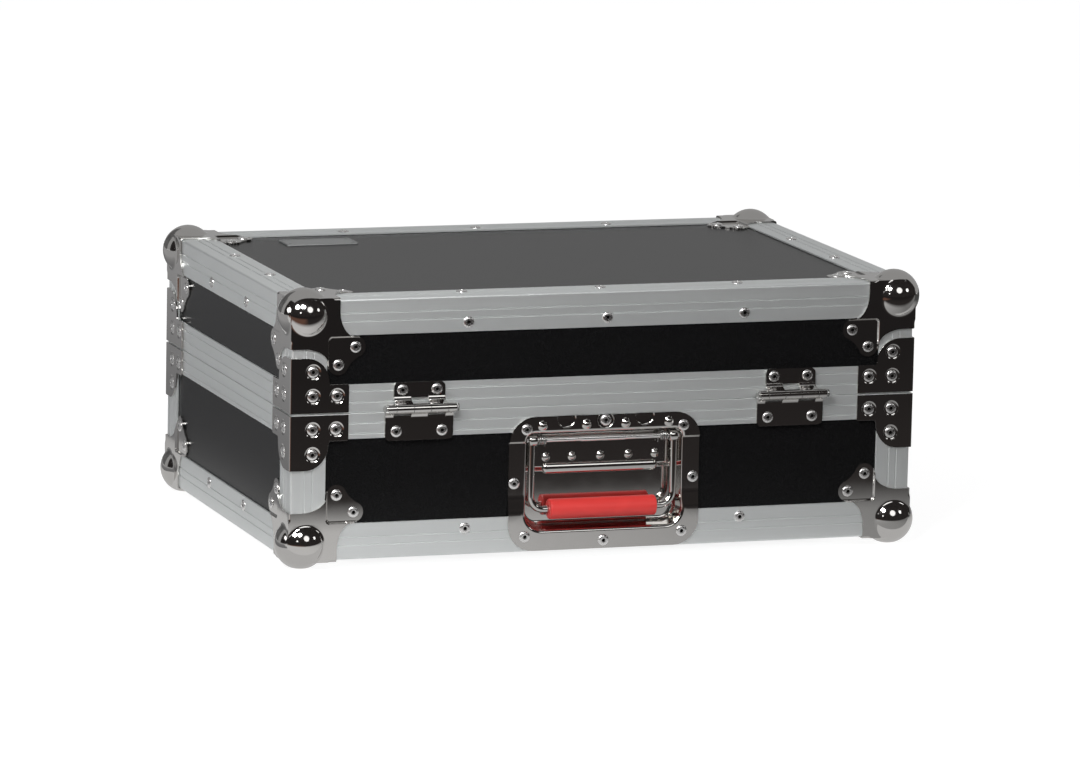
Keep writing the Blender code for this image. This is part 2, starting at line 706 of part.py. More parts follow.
def pressed_dish(outer, opening, depth, steps, open_at=None, ledge=None):
    """A pressed dish: a flange round a pan, made as a sheet and then thickened.

    outer and opening are (left, right, low, high, lower corner radius, upper
    corner radius). steps lists (z, z) bands over which the flange steps from
    the angles down to the panel.
    """
    bm = bmesh.new()

    def loop(shape, shrink, y):
        left, right, low, high, radius, top_radius = shape
        outline = rounded_rectangle(left + shrink, right - shrink, low + shrink, high - shrink,
                                    radius - shrink / 2, top_radius - shrink / 2)
        verts = [bm.verts.new((x, y, z)) for x, z in outline]
        return [bm.edges.new((a, b)) for a, b in zip(verts, verts[1:] + verts[:1])]

    level = -PLATE_OUT
    loops = [loop(outer, 0, level), loop(opening, 0, level),
             loop(opening, RECESS_DRAFT, depth - RECESS_FILLET),
             loop(opening, RECESS_DRAFT + RECESS_FILLET, depth)]
    for first, second in zip(loops, loops[1:]):
        bmesh.ops.bridge_loops(bm, edges=first + second)
    bm.faces.new([edge.verts[0] for edge in loops[-1]])
    for high, low in steps:
        for z in (high, low):
            bmesh.ops.bisect_plane(bm, geom=bm.verts[:] + bm.edges[:] + bm.faces[:],
                                   plane_co=(0, 0, z), plane_no=(0, 0, 1))
    for vertex in bm.verts:
        if vertex.co.y < level + GAP:
            drops = [(vertex.co.z - high) / (low - high) for high, low in steps]
            share = max(0.0, min([1.0] + drops)) if drops else 0.0
            vertex.co.y += PANEL_INSET * share
    if ledge:
        ledge_depth, ledge_z, run = ledge
        for z in (ledge_z, ledge_z + run):
            bmesh.ops.bisect_plane(bm, geom=bm.verts[:] + bm.edges[:] + bm.faces[:],
                                   plane_co=(0, 0, z), plane_no=(0, 0, 1))
        for vertex in bm.verts:
            above = max(0.0, min(1.0, (vertex.co.z - ledge_z) / run))
            limit = depth + (ledge_depth - depth) * above
            vertex.co.y = min(vertex.co.y, limit)
    if open_at is not None:
        bmesh.ops.bisect_plane(bm, geom=bm.verts[:] + bm.edges[:] + bm.faces[:],
                               plane_co=(0, 0, open_at), plane_no=(0, 0, 1), clear_outer=True)
    bmesh.ops.remove_doubles(bm, verts=bm.verts, dist=WELD)
    bmesh.ops.recalc_face_normals(bm, faces=bm.faces)
    flange = min(bm.faces, key=lambda face: face.calc_center_median().y)
    if flange.normal.y > 0:
        bmesh.ops.reverse_faces(bm, faces=bm.faces)
    mesh = bpy.data.meshes.new("pressed_dish")
    bm.to_mesh(mesh)
    bm.free()
    item = bpy.data.objects.new("sheet", mesh)
    bpy.context.collection.objects.link(item)
    thick = item.modifiers.new("thickness", "SOLIDIFY")
    thick.thickness = SHEET
    thick.offset = -1
    thick.use_even_offset = True
    result = evaluated(item)
    bpy.data.objects.remove(item)
    return result


def tube_along(points, wire, resolution, name):
    """A round wire through points, with closed ends."""
    curve = bpy.data.curves.new(name, "CURVE")
    curve.dimensions = "3D"
    curve.bevel_depth = wire / 2
    curve.bevel_resolution = resolution
    curve.use_fill_caps = True
    line = curve.splines.new("POLY")
    line.points.add(len(points) - 1)
    for target, point in zip(line.points, points):
        target.co = (*point, 1.0)
    item = bpy.data.objects.new(name, curve)
    bpy.context.collection.objects.link(item)
    mesh = evaluated(item)
    bpy.data.objects.remove(item)
    bm = bmesh.new()
    bm.from_mesh(mesh)
    bmesh.ops.remove_doubles(bm, verts=bm.verts, dist=WELD)
    return finished(bm, name)


def bail():
    """Wire bail: an eye at each end round the pivot rod, and a bar under the grip."""
    x, r = BAIL_OFFSET, BAIL_BEND
    low = GRIP_HEIGHT - PIVOT_HEIGHT
    right = [(x, 0)] + arc((x - r, low + r), r, 0, -90, CORNER_STEPS + 1)
    path = [(px, 0, pz) for px, pz in right] + [(-px, 0, pz) for px, pz in reversed(right)]
    wire = tube_along(path, 2 * BAIL_RADIUS, 3, "bail")
    steps = []
    for sign in (-1, 1):
        near, far = sorted((sign * (EYE_OFFSET - EYE_WIDTH / 2), sign * (BAIL_OFFSET + BAIL_RADIUS)))
        steps.append(("UNION", round_bar([(near, EYE_RADIUS), (far, EYE_RADIUS)], "X")))
    bore = ROD_RADIUS + EYE_BORE_CLEARANCE
    steps.append(("DIFFERENCE", round_bar([(-RECESS_WIDTH, bore), (RECESS_WIDTH, bore)], "X")))
    return carved(wire, *steps, name="bail")


def spring_points(sign):
    """Centre line of a return spring: coils round the rod, and a leg at each end."""
    points = []
    for i in range(SPRING_TURNS * SPRING_POINTS + 1):
        turns = i / SPRING_POINTS
        angle = math.tau * turns
        x = sign * (SPRING_OFFSET + SPRING_PITCH * (turns - SPRING_TURNS / 2))
        points.append(Vector((x, SPRING_RADIUS * math.cos(angle), SPRING_RADIUS * math.sin(angle))))
    first_leg = points[0] + Vector((0, 0, -SPRING_LEG))
    last_leg = points[-1] + Vector((0, 0, -SPRING_LEG))
    return [first_leg] + points + [last_leg]


def least_gap(points, wire):
    """Least space between parts of a wire that lie over half a turn apart along it."""
    skip = SPRING_POINTS // 2 + 2
    least = min((a - b).length for i, a in enumerate(points) for b in points[i + skip:])
    return least - wire


def build_handle(looks):
    """Recessed handle at the middle of the hinge side of the base."""
    world = BASE_FRAME @ side_frame_matrix("front")
    outer = (-HANDLE_WIDTH / 2, HANDLE_WIDTH / 2, HANDLE_BOTTOM, HANDLE_TOP,
             HANDLE_CORNER, HANDLE_CORNER)
    opening = (-RECESS_WIDTH / 2, RECESS_WIDTH / 2, RECESS_BOTTOM, RECESS_TOP,
               RECESS_CORNER, RECESS_TOP_CORNER)
    rim_edge = BASE_HEIGHT - BASE_RIM - 2 * GAP
    angle_edge = ANGLE_LEG + 2 * GAP
    steps = [(rim_edge, rim_edge - HANDLE_TOP_RUN), (angle_edge, angle_edge + HANDLE_BOTTOM_RUN)]
    dish = pressed_dish(outer, opening, RECESS_DEPTH, steps,
                        ledge=(LEDGE_DEPTH, LEDGE_HEIGHT, LEDGE_RUN))
    place("handle_dish", dish, looks["chrome"], world, None, True)
    pivot = world @ Matrix.Translation((0, PIVOT_DEPTH, PIVOT_HEIGHT))
    rod_end = RECESS_WIDTH / 2 - GAP - RECESS_DRAFT
    half = ROD_THICK_LENGTH / 2
    profile = [(-rod_end, ROD_RADIUS), (-half, ROD_RADIUS), (-half, ROD_THICK_RADIUS),
               (half, ROD_THICK_RADIUS), (half, ROD_RADIUS), (rod_end, ROD_RADIUS)]
    place("handle_pivot_rod", round_bar(profile, "X"), looks["chrome"], pivot, None, True)
    for side, sign in (("left", -1), ("right", 1)):
        points = spring_points(sign)
        print(f"handle_spring_{side} least gap {least_gap(points, SPRING_WIRE) * 1000:.2f} mm")
        wire = tube_along(points, SPRING_WIRE, 1, "spring")
        place(f"handle_spring_{side}", wire, looks["steel"], pivot, None, True)
    axis = axis_empty("handle_fold_axis", pivot)
    place("handle_bail", bail(), looks["chrome"], pivot, axis, True)
    grip = tube(-GRIP_LENGTH / 2, GRIP_LENGTH / 2, GRIP_RADIUS, BAIL_RADIUS + GAP,
                (0, GRIP_HEIGHT - PIVOT_HEIGHT))
    place("handle_grip", grip, looks["rubber"], pivot, axis, True)


def build_hinges(lid_axis, looks):
    """Two stop hinges on the hinge side."""
    base_leaf, lid_leaf, pin = hinge_leaf(False), hinge_leaf(True), hinge_pin()
    for label, sign in (("left", -1), ("right", 1)):
        place_at = Matrix.Translation((sign * HINGE_SPACING / 2, CASE_Y - CASE_DEPTH / 2, SEAM_Z))
        place(f"hinge_{label}_base_leaf", base_leaf, looks["chrome"], place_at, None, True)
        place(f"hinge_{label}_pin", pin, looks["steel"], place_at, None, True)
        place(f"hinge_{label}_lid_leaf", lid_leaf, looks["chrome"], place_at, lid_axis, True)


def half_dish(flange_height, opening_height, steps):
    """Latch dish or keeper, in a frame whose z is 0 at the joint and falls away from it."""
    over = LATCH_WIDTH
    outer = (-LATCH_WIDTH / 2, LATCH_WIDTH / 2, -flange_height, over, LATCH_CORNER, LATCH_CORNER)
    opening = (-LATCH_OPENING_WIDTH / 2, LATCH_OPENING_WIDTH / 2, -opening_height,
               over - LATCH_CORNER, LATCH_OPENING_CORNER, LATCH_OPENING_CORNER)
    return pressed_dish(outer, opening, LATCH_DEPTH, steps, open_at=-GAP / 2)


def latch_keeper():
    """The lid's part of the latch: a shallow pan with a lip for the hook."""
    lip = block((-LIP_WIDTH / 2, lip_front(), -LIP_RISE - LIP_THICKNESS),
                (LIP_WIDTH / 2, LATCH_DEPTH + SHEET / 2, -LIP_RISE))
    return carved(half_dish(KEEPER_HEIGHT, KEEPER_OPENING_HEIGHT, []), ("UNION", lip), name="keeper")


def hook_front():
    """Depth of the front of the hook's plate when the latch is released."""
    return WING_AXIS_DEPTH + WING_BARREL_RADIUS + 2 * GAP + SPINDLE_HEAD_THICKNESS


def lip_front():
    """Depth of the front of the keeper's lip, just behind the plate of the drawn hook."""
    return hook_front() + HOOK_THICKNESS + HOOK_INWARD + GAP


def hook():
    """Sliding plate round the spindle, with a nose that draws the lip down."""
    spindle_z = -SPINDLE_DROP
    nose_low = LIP_RISE + LIP_THICKNESS + GAP + HOOK_DRAW
    top = nose_low + HOOK_NOSE_THICKNESS
    tail = spindle_z - HOOK_TAIL
    half, top_half = HOOK_WIDTH / 2, HOOK_TOP_WIDTH / 2
    neck = spindle_z + HOOK_TAIL
    shoulder = neck + half - top_half
    outline = [(-half, tail), (half, tail), (half, neck), (top_half, shoulder), (top_half, top),
               (-top_half, top), (-top_half, shoulder), (-half, neck)]
    front = hook_front()
    plate = prism(outline, "Y", front, front + HOOK_THICKNESS)
    nose = block((-top_half, front + HOOK_THICKNESS / 2, nose_low),
                 (top_half, front + HOOK_THICKNESS + HOOK_NOSE, top))
    r = SPINDLE_RADIUS + 2 * GAP
    slot = arc((0, spindle_z + HOOK_DRAW), r, 0, 180, HALF_TURN_STEPS)
    slot += arc((0, spindle_z), r, 180, 360, HALF_TURN_STEPS)
    return carved(plate, ("UNION", nose), ("DIFFERENCE", prism(slot, "Y", -LATCH_DEPTH, LATCH_DEPTH)),
                  name="hook")


def spindle():
    """Spindle in its own frame: neck, cam under the hook, head with ears and a cross pin."""
    floor = LATCH_DEPTH - GAP
    head = hook_front() - GAP
    neck = round_bar([(head - SPINDLE_HEAD_THICKNESS / 2, SPINDLE_RADIUS), (floor, SPINDLE_RADIUS)], "Y")
    cam = round_bar([(floor - CAM_THICKNESS, CAM_RADIUS), (floor, CAM_RADIUS)], "Y", (0, CAM_OFFSET))
    disc = round_bar([(head - SPINDLE_HEAD_THICKNESS, SPINDLE_HEAD_RADIUS),
                      (head, SPINDLE_HEAD_RADIUS)], "Y")
    steps = [("UNION", cam), ("UNION", disc)]
    start = WING_BARREL_LENGTH / 2 + GAP
    r = WING_BARREL_RADIUS
    for sign in (-1, 1):
        low, high = sorted((sign * start, sign * (start + WING_EAR)))
        ear = block((low, WING_AXIS_DEPTH - r, -r), (high, head - SPINDLE_HEAD_THICKNESS / 2, r))
        steps.append(("UNION", ear))
    pin_end = start + WING_EAR / 2
    pin = round_bar([(-pin_end, WING_PIN_RADIUS), (pin_end, WING_PIN_RADIUS)], "X",
                    (WING_AXIS_DEPTH, 0), SMALL_SEGMENTS)
    steps.append(("UNION", pin))
    return carved(neck, *steps, name="spindle")


def wing():
    """Folding tab in the frame of its own axis: a barrel and a round-ended plate."""
    half, r = WING_WIDTH / 2, WING_BARREL_RADIUS
    barrel_half = WING_BARREL_LENGTH / 2
    tab = arc((0, -WING_LENGTH + half / 2), (half, half / 2), 180, 360, HALF_TURN_STEPS)
    shoulder = -r - WING_SHOULDER
    tab += [(half, shoulder), (barrel_half, shoulder), (barrel_half, 0),
            (-barrel_half, 0), (-barrel_half, shoulder), (-half, shoulder)]
    plate = prism(tab, "Y", -r, -r + WING_THICKNESS)
    barrel = round_bar([(-barrel_half, r), (barrel_half, r)], "X")
    bore = round_bar([(-half, WING_BORE_RADIUS), (half, WING_BORE_RADIUS)], "X", segments=SMALL_SEGMENTS)
    return carved(plate, ("UNION", barrel), ("DIFFERENCE", bore), name="wing")


def build_latches(lid_axis, looks):
    """Two recessed twist latches on the side away from the hinges, shown released."""
    back = Matrix.Translation((0, CASE_Y + CASE_DEPTH / 2, SEAM_Z)) @ Matrix.Rotation(math.pi, 4, "Z")
    rim_edge = -BASE_RIM - 2 * GAP
    dish = half_dish(LATCH_HEIGHT, LATCH_OPENING_HEIGHT, [(rim_edge, rim_edge - LATCH_STEP_RUN)])
    keeper = latch_keeper()
    flip = Matrix.Rotation(math.pi, 4, "Y")
    for label, sign in (("left", 1), ("right", -1)):
        world = back @ Matrix.Translation((sign * LATCH_SPACING / 2, 0, 0))
        place(f"latch_{label}_dish", dish, looks["chrome"], world, None, True)
        place(f"latch_{label}_keeper", keeper, looks["chrome"], world @ flip, lid_axis, True)
        turn = world @ Matrix.Translation((0, 0, -SPINDLE_DROP))
        turn_axis = axis_empty(f"latch_{label}_turn_axis", turn)
        place(f"latch_{label}_spindle", spindle(), looks["steel"], turn, turn_axis, True)
        fold = turn @ Matrix.Translation((0, WING_AXIS_DEPTH, 0))
        fold_axis = axis_empty(f"latch_{label}_wing_axis", fold, turn_axis)
        place(f"latch_{label}_wing", wing(), looks["chrome"], fold, fold_axis, True)
        place(f"latch_{label}_hook", hook(), looks["steel"], world, None)


def report_joints():
    """Print where the joint axes lie, in the world."""
    latch_y = CASE_Y + CASE_DEPTH / 2
    print(f"lid_hinge axis y {PIN_Y:.6f} z {PIN_Z:.6f}")
    pivot_y = CASE_Y - CASE_DEPTH / 2 + PIVOT_DEPTH
    print(f"handle_fold axis y {pivot_y:.6f} z {BALL_PROUD + PIVOT_HEIGHT:.6f}")
    print(f"latch axes x {LATCH_SPACING / 2:.6f} y {latch_y:.6f} z {SEAM_Z - SPINDLE_DROP:.6f}")
    print(f"wing axes y {latch_y - WING_AXIS_DEPTH:.6f}")
    travel = math.hypot(HOOK_INWARD, HOOK_DRAW)
    print(f"hook slide {-HOOK_INWARD / travel:.6f} {-HOOK_DRAW / travel:.6f} travel {travel:.6f}")


def build():
    """Make the whole case."""
    looks = {
        "ply": finish("laminate", (0.045, 0.045, 0.047), 0.55),
        "foam": finish("foam", (0.03, 0.03, 0.032), 0.95),
        "aluminium": finish("aluminium", (0.62, 0.64, 0.64), 0.35, 1.0),
        "chrome": finish("chrome", (0.62, 0.60, 0.58), 0.12, 1.0),
        "steel": finish("steel", (0.50, 0.50, 0.50), 0.30, 1.0),
        "rubber": finish("rubber", (0.62, 0.045, 0.04), 0.55),
    }
    pin = Matrix.Translation((0, PIN_Y, PIN_Z))
    lid_axis = axis_empty("lid_hinge_axis", pin)
    build_half("base", BASE_HEIGHT, BASE_RIM, True, BASE_FRAME, None, looks)
    build_half("lid", LID_HEIGHT, LID_RIM, False, LID_FRAME, lid_axis, looks)
    build_hinges(lid_axis, looks)
    build_handle(looks)
    build_latches(lid_axis, looks)
    report_joints()


for leftover in list(bpy.data.objects):
    bpy.data.objects.remove(leftover)

PLACES = {}
BASE_FRAME = Matrix.Translation((0, CASE_Y, BALL_PROUD))
LID_FRAME = (Matrix.Translation((0, CASE_Y, BALL_PROUD + CASE_HEIGHT))
             @ Matrix.Rotation(math.pi, 4, "Y"))
build()
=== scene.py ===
"""Looks of the dj mixer flight case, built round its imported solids.

Everything is in metres, in the frame of the solids: the hinge side faces -Y, the
lid is up and the ground is at z = 0. Each half of the case is built in a frame
whose z runs from its outer face to the joint, each side in a frame with x along
the side and y inwards, and each corner in a frame whose axes run into the case.
"""
import logging
import math
from dataclasses import dataclass, field
from enum import Enum
from functools import cache
from typing import Callable, Iterable, Sequence, Union

import bmesh
import bpy
from bmesh.types import BMEdge, BMFace, BMVert
from bpy.types import ID, Material, Mesh, Node, NodeSocket, Object, World
from mathutils import Matrix, Vector


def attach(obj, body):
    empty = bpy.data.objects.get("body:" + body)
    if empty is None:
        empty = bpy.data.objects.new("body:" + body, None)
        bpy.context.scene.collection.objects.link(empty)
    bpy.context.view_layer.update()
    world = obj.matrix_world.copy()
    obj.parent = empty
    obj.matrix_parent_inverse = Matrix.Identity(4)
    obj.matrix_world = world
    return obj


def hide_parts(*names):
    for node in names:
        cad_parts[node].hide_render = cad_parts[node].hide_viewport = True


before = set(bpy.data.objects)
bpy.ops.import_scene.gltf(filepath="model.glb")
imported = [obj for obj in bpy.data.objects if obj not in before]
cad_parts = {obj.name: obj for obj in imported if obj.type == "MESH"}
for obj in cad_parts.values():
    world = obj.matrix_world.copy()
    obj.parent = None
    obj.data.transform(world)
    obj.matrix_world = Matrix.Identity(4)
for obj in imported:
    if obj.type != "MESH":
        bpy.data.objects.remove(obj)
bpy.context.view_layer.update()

LOG = logging.getLogger("flight_case")
WELD = 2e-6
FACET_ANGLE = math.radians(0.5)
ASKEW = Vector((0.3, 0.5, 0.81))
# Name of the point attribute that marks where shade is painted into the rivets' holes.
HOLE_SHADE = "recess"
Flat = tuple[float, float]
Place = tuple[float, float, float]
Outline = list[Flat]


# Shared sizes

@dataclass(frozen=True)
class CaseSizes:
    """Sizes that several sub-assemblies share, as the solids have them."""

    width: float = 0.540
    depth: float = 0.372
    ground: float = 0.0085
    centre_y: float = 0.00175
    base_height: float = 0.1215
    lid_height: float = 0.0940
    gap: float = 0.0003
    ply: float = 0.009
    angle_leg: float = 0.030
    angle_wall: float = 0.0015
    angle_round: float = 0.0018
    base_rim: float = 0.0215
    lid_rim: float = 0.0235
    sheet: float = 0.0012
    rivet_line: float = 0.022
    top_rivet_line: float = 0.020
    rivet_along: float = 0.120
    side_rivet: float = 0.052
    inner_flange: float = 0.014
    groove_mouth: float = 0.00075
    groove_floor: float = 0.00035
    groove_depth: float = 0.00055
    pan_half: float = 0.0695
    pan_low: float = 0.0165

    @property
    def seam(self) -> float:
        """Height of the joint between the halves."""
        return self.ground + self.base_height

    @property
    def inset(self) -> float:
        """Depth of the panels behind the outer faces of the angles."""
        return self.angle_wall + self.gap

    @property
    def plate(self) -> float:
        """How far a sheet on the angles stands out from their faces."""
        return self.gap + self.sheet


CASE = CaseSizes()


class Side(Enum):
    """A side of the case: quarter turns from the hinge side, seen from above."""

    FRONT = 0
    RIGHT = 1
    BACK = 2
    LEFT = 3

    @property
    def half_length(self) -> float:
        """Half the length of the side."""
        return (CASE.depth if self.value % 2 else CASE.width) / 2

    @property
    def frame(self) -> Matrix:
        """From the side's frame to the half's frame."""
        out = (CASE.width if self.value % 2 else CASE.depth) / 2
        return Matrix.Rotation(math.pi / 2 * self.value, 4, "Z") @ Matrix.Translation((0, -out, 0))


@dataclass(frozen=True)
class Half:
    """The base or the lid: where its frame lies and what it rides on.

    Attributes:
        name: first word of its nodes, and the body that it rides on.
        height: from its outer face to the joint.
        rim: depth of its rim's outer flange.
        tongue: whether its rim has the tongue, as the base has.
    """

    name: str
    height: float
    rim: float
    tongue: bool

    @property
    def world(self) -> Matrix:
        """From the half's frame to the world.

        Returns:
            The matrix.
        """
        if self.tongue:
            return Matrix.Translation((0, CASE.centre_y, CASE.ground))
        top = CASE.seam + CASE.lid_height
        return Matrix.Translation((0, CASE.centre_y, top)) @ Matrix.Rotation(math.pi, 4, "Y")

    def side_label(self, side: Side) -> str:
        """The name of a side: a half that is turned over swaps left and right.

        Args:
            side: of this half.

        Returns:
            The name.
        """
        if side in (Side.FRONT, Side.BACK):
            return side.name.lower()
        right = (self.world @ side.frame).to_translation().x > 0
        return "right" if right else "left"

    def corner(self, index: int) -> tuple[Matrix, str]:
        """A corner's frame in the world, and its name seen from the hinge side.

        Args:
            index: 0 to 3, round the half.

        Returns:
            Both.
        """
        x = CASE.width / 2 * (-1, 1, 1, -1)[index]
        y = CASE.depth / 2 * (-1, -1, 1, 1)[index]
        turn = Matrix.Rotation(math.pi / 2 * index, 4, "Z")
        place = self.world @ Matrix.Translation((x, y, 0)) @ turn
        spot = place.to_translation()
        end = "back" if spot.y > CASE.centre_y else "front"
        return place, f"{end}_{'right' if spot.x > 0 else 'left'}"


BASE = Half("base", CASE.base_height, CASE.base_rim, True)
LID = Half("lid", CASE.lid_height, CASE.lid_rim, False)
HALVES = (BASE, LID)


# Materials

class Signal:
    """An output of a graph's node, with arithmetic."""

    def __init__(self, graph: "Graph", socket: NodeSocket) -> None:
        """Wrap a socket of a graph."""
        self.graph = graph
        self.socket = socket

    def __add__(self, other: "Value") -> "Signal":
        """This plus another."""
        return self.graph.math("ADD", self, other)

    __radd__ = __add__

    def __mul__(self, other: "Value") -> "Signal":
        """This times another."""
        return self.graph.math("MULTIPLY", self, other)

    __rmul__ = __mul__


Value = Union[Signal, float, int, Sequence[float], Vector]
Colour = tuple[float, float, float]


class Graph:
    """The nodes of one material, or of the world."""

    def __init__(self, owner: Union[str, World], **constants: Value) -> None:
        """Take up the nodes.

        Args:
            owner: the name of a new material, or the world.
            constants: values of the shader's own sockets, with _ for a space.
        """
        self.owner = bpy.data.materials.new(owner) if isinstance(owner, str) else owner
        self.owner.use_nodes = True
        self.tree = self.owner.node_tree
        for key, value in constants.items():
            self.shader.inputs[key.replace("_", " ")].default_value = value

    @property
    def output(self) -> Node:
        """The output node."""
        return next(node for node in self.tree.nodes if node.type.startswith("OUTPUT"))

    @property
    def shader(self) -> Node:
        """The shader that is shown."""
        return self.output.inputs["Surface"].links[0].from_node

    def node(self, kind: str, settings: dict, sockets: dict, output: Union[int, str] = 0) -> Signal:
        """Add a node.

        Args:
            kind: the node's type.
            settings: its properties.
            sockets: values or signals by socket name or number.
            output: which output is wanted.

        Returns:
            That output.
        """
        made = self.tree.nodes.new(kind)
        for key, value in settings.items():
            setattr(made, key, value)
        for key, value in sockets.items():
            if isinstance(value, Signal):
                self.tree.links.new(value.socket, made.inputs[key])
            else:
                made.inputs[key].default_value = value
        return Signal(self, made.outputs[output])

    def math(self, operation: str, first: Value, second: Value) -> Signal:
        """A Math node on two values."""
        return self.node("ShaderNodeMath", {"operation": operation}, {0: first, 1: second})

    def place(self, stretch: Sequence[float] = (1, 1, 1)) -> Signal:
        """Object coordinates, scaled along each axis."""
        coordinates = self.node("ShaderNodeTexCoord", {}, {}, "Object")
        return self.node("ShaderNodeMapping", {}, {"Vector": coordinates, "Scale": stretch})

    def noise(self, scale: float, stretch: Sequence[float] = (1, 1, 1),
              detail: float = 2.0) -> Signal:
        """Smooth noise between 0 and 1."""
        return self.node("ShaderNodeTexNoise", {}, {
            "Vector": self.place(stretch), "Scale": scale, "Detail": detail}, "Fac")

    def between(self, signal: Signal, low: float, high: float) -> Signal:
        """0 below one level and 1 above another, straight between them."""
        return self.node("ShaderNodeMapRange", {}, {
            "Value": signal, "From Min": low, "From Max": high}, "Result")

    def tint(self, share: Signal, first: Value, second: Value) -> Signal:
        """A colour between two, by a share.

        Args:
            share: 0 for the first and 1 for the second.
            first: a colour.
            second: the other.

        Returns:
            The colour.
        """
        ends = [end if isinstance(end, Signal) else (*end, 1) for end in (first, second)]
        return self.node("ShaderNodeMix", {"data_type": "RGBA"},
                         {0: share, 6: ends[0], 7: ends[1]}, 2)

    def axis(self, name: str) -> Signal:
        """One of the object coordinates."""
        return self.node("ShaderNodeSeparateXYZ", {}, {"Vector": self.place()}, name)

    def bump(self, height: Signal, depth: float, strength: float = 0.5) -> Signal:
        """A normal from a height between 0 and 1, of a depth in metres."""
        return self.node("ShaderNodeBump", {}, {
            "Height": height, "Distance": depth, "Strength": strength})

    def feed(self, **signals: Signal) -> Material:
        """Link signals into the shader.

        Args:
            signals: by socket name, with _ for a space.

        Returns:
            The material.
        """
        for key, signal in signals.items():
            self.tree.links.new(signal.socket, self.shader.inputs[key.replace("_", " ")])
        return self.owner

    def show(self, shader: Signal) -> Union[Material, World]:
        """Show a shader in place of the one that a new tree has.

        Args:
            shader: the output of its node.

        Returns:
            The material, or the world.
        """
        self.tree.nodes.remove(self.shader)
        self.tree.links.new(shader.socket, self.output.inputs["Surface"])
        return self.owner


class Run(Enum):
    """The axis along which a length of aluminium was drawn."""

    X = (0.004, 1.0, 1.0)
    Y = (1.0, 0.004, 1.0)
    Z = (1.0, 1.0, 0.004)


def dimmed(colour: Colour, share: float) -> Colour:
    """A colour times a share."""
    return tuple(share * part for part in colour)


@dataclass(frozen=True)
class Laminate:
    """Black laminate on plywood: satin, with a fine orange peel and pale specks."""

    dark: Colour = (0.0036, 0.0036, 0.0038)
    speck: Colour = (0.015, 0.015, 0.0155)
    speck_share: float = 0.8
    speck_scale: float = 2600.0
    speck_levels: Flat = (0.55, 0.78)
    roughness: float = 0.27
    cloud_scale: float = 45.0
    cloud_change: float = 0.012
    peel_scale: float = 850.0
    peel_depth: float = 0.00003

    def material(self) -> Material:
        """Pale specks on a dark ground, over the peel.

        Returns:
            The material.
        """
        graph = Graph("laminate", Specular_IOR_Level=0.16)
        peel = graph.noise(self.peel_scale)
        specks = graph.between(graph.noise(self.speck_scale, detail=1.0), *self.speck_levels)
        clouds = graph.noise(self.cloud_scale, detail=3.0)
        return graph.feed(
            Base_Color=graph.tint(specks * self.speck_share, self.dark, self.speck),
            Roughness=clouds * self.cloud_change + (self.roughness - self.cloud_change / 2),
            Normal=graph.bump(peel, self.peel_depth))


@dataclass(frozen=True)
class DrawnAluminium:
    """Satin anodised aluminium: fine streaks along its length and a few handling marks."""

    run: Run
    colour: Colour = (0.86, 0.885, 0.88)
    shade: Colour = (0.78, 0.80, 0.80)
    roughness: float = 0.44
    streak_scale: float = 1700.0
    streak_depth: float = 0.000004
    broad_scale: float = 210.0
    mark_scale: float = 110.0
    mark_levels: Flat = (0.60, 0.78)
    streak_change: float = 0.08
    mark_change: float = 0.06

    def material(self) -> Material:
        """Streaks along the length, with a few marks.

        Returns:
            The material.
        """
        graph = Graph(f"aluminium_{self.run.name.lower()}", Metallic=0.86)
        streaks = graph.noise(self.streak_scale, self.run.value, 3.0)
        broad = graph.noise(self.broad_scale, self.run.value, 2.0)
        marks = graph.between(graph.noise(self.mark_scale, detail=5.0), *self.mark_levels)
        mixed = streaks * 0.5 + broad * 0.5
        return graph.feed(
            Base_Color=graph.tint(mixed, self.shade, self.colour),
            Roughness=(mixed * self.streak_change + marks * self.mark_change
                       + (self.roughness - self.streak_change / 2)),
            Normal=graph.bump(streaks, self.streak_depth))


@dataclass(frozen=True)
class Chrome:
    """Bright plating on pressed steel: a little warm, a little uneven."""

    colour: Colour = (0.665, 0.65, 0.63)
    roughness: float = 0.075
    haze_scale: float = 70.0
    haze_shade: float = 0.93
    haze_change: float = 0.05
    pressing_scale: float = 55.0
    pressing_depth: float = 0.00006

    def material(self) -> Material:
        """A thin haze on a slightly wavy face.

        Returns:
            The material.
        """
        graph = Graph(f"chrome_{round(100 * self.roughness)}", Metallic=1.0)
        haze = graph.noise(self.haze_scale, detail=4.0)
        pressed = graph.noise(self.pressing_scale, detail=1.0)
        return graph.feed(
            Base_Color=graph.tint(haze, dimmed(self.colour, self.haze_shade), self.colour),
            Roughness=haze * self.haze_change + (self.roughness - self.haze_change / 2),
            Normal=graph.bump(pressed, self.pressing_depth))


@dataclass(frozen=True)
class PlatedSteel:
    """Zinc-plated steel of the small moving parts."""

    colour: Colour = (0.56, 0.56, 0.55)
    roughness: float = 0.26
    mottle_scale: float = 380.0
    mottle_shade: float = 0.78
    mottle_change: float = 0.16
    mottle_depth: float = 0.00002
    mottle_strength: float = 0.4

    def material(self) -> Material:
        """A mottled face.

        Returns:
            The material.
        """
        graph = Graph("plated_steel", Metallic=1.0)
        mottle = graph.noise(self.mottle_scale, detail=4.0)
        return graph.feed(
            Base_Color=graph.tint(mottle, dimmed(self.colour, self.mottle_shade), self.colour),
            Roughness=mottle * self.mottle_change + (self.roughness - self.mottle_change / 2),
            Normal=graph.bump(mottle, self.mottle_depth, self.mottle_strength))


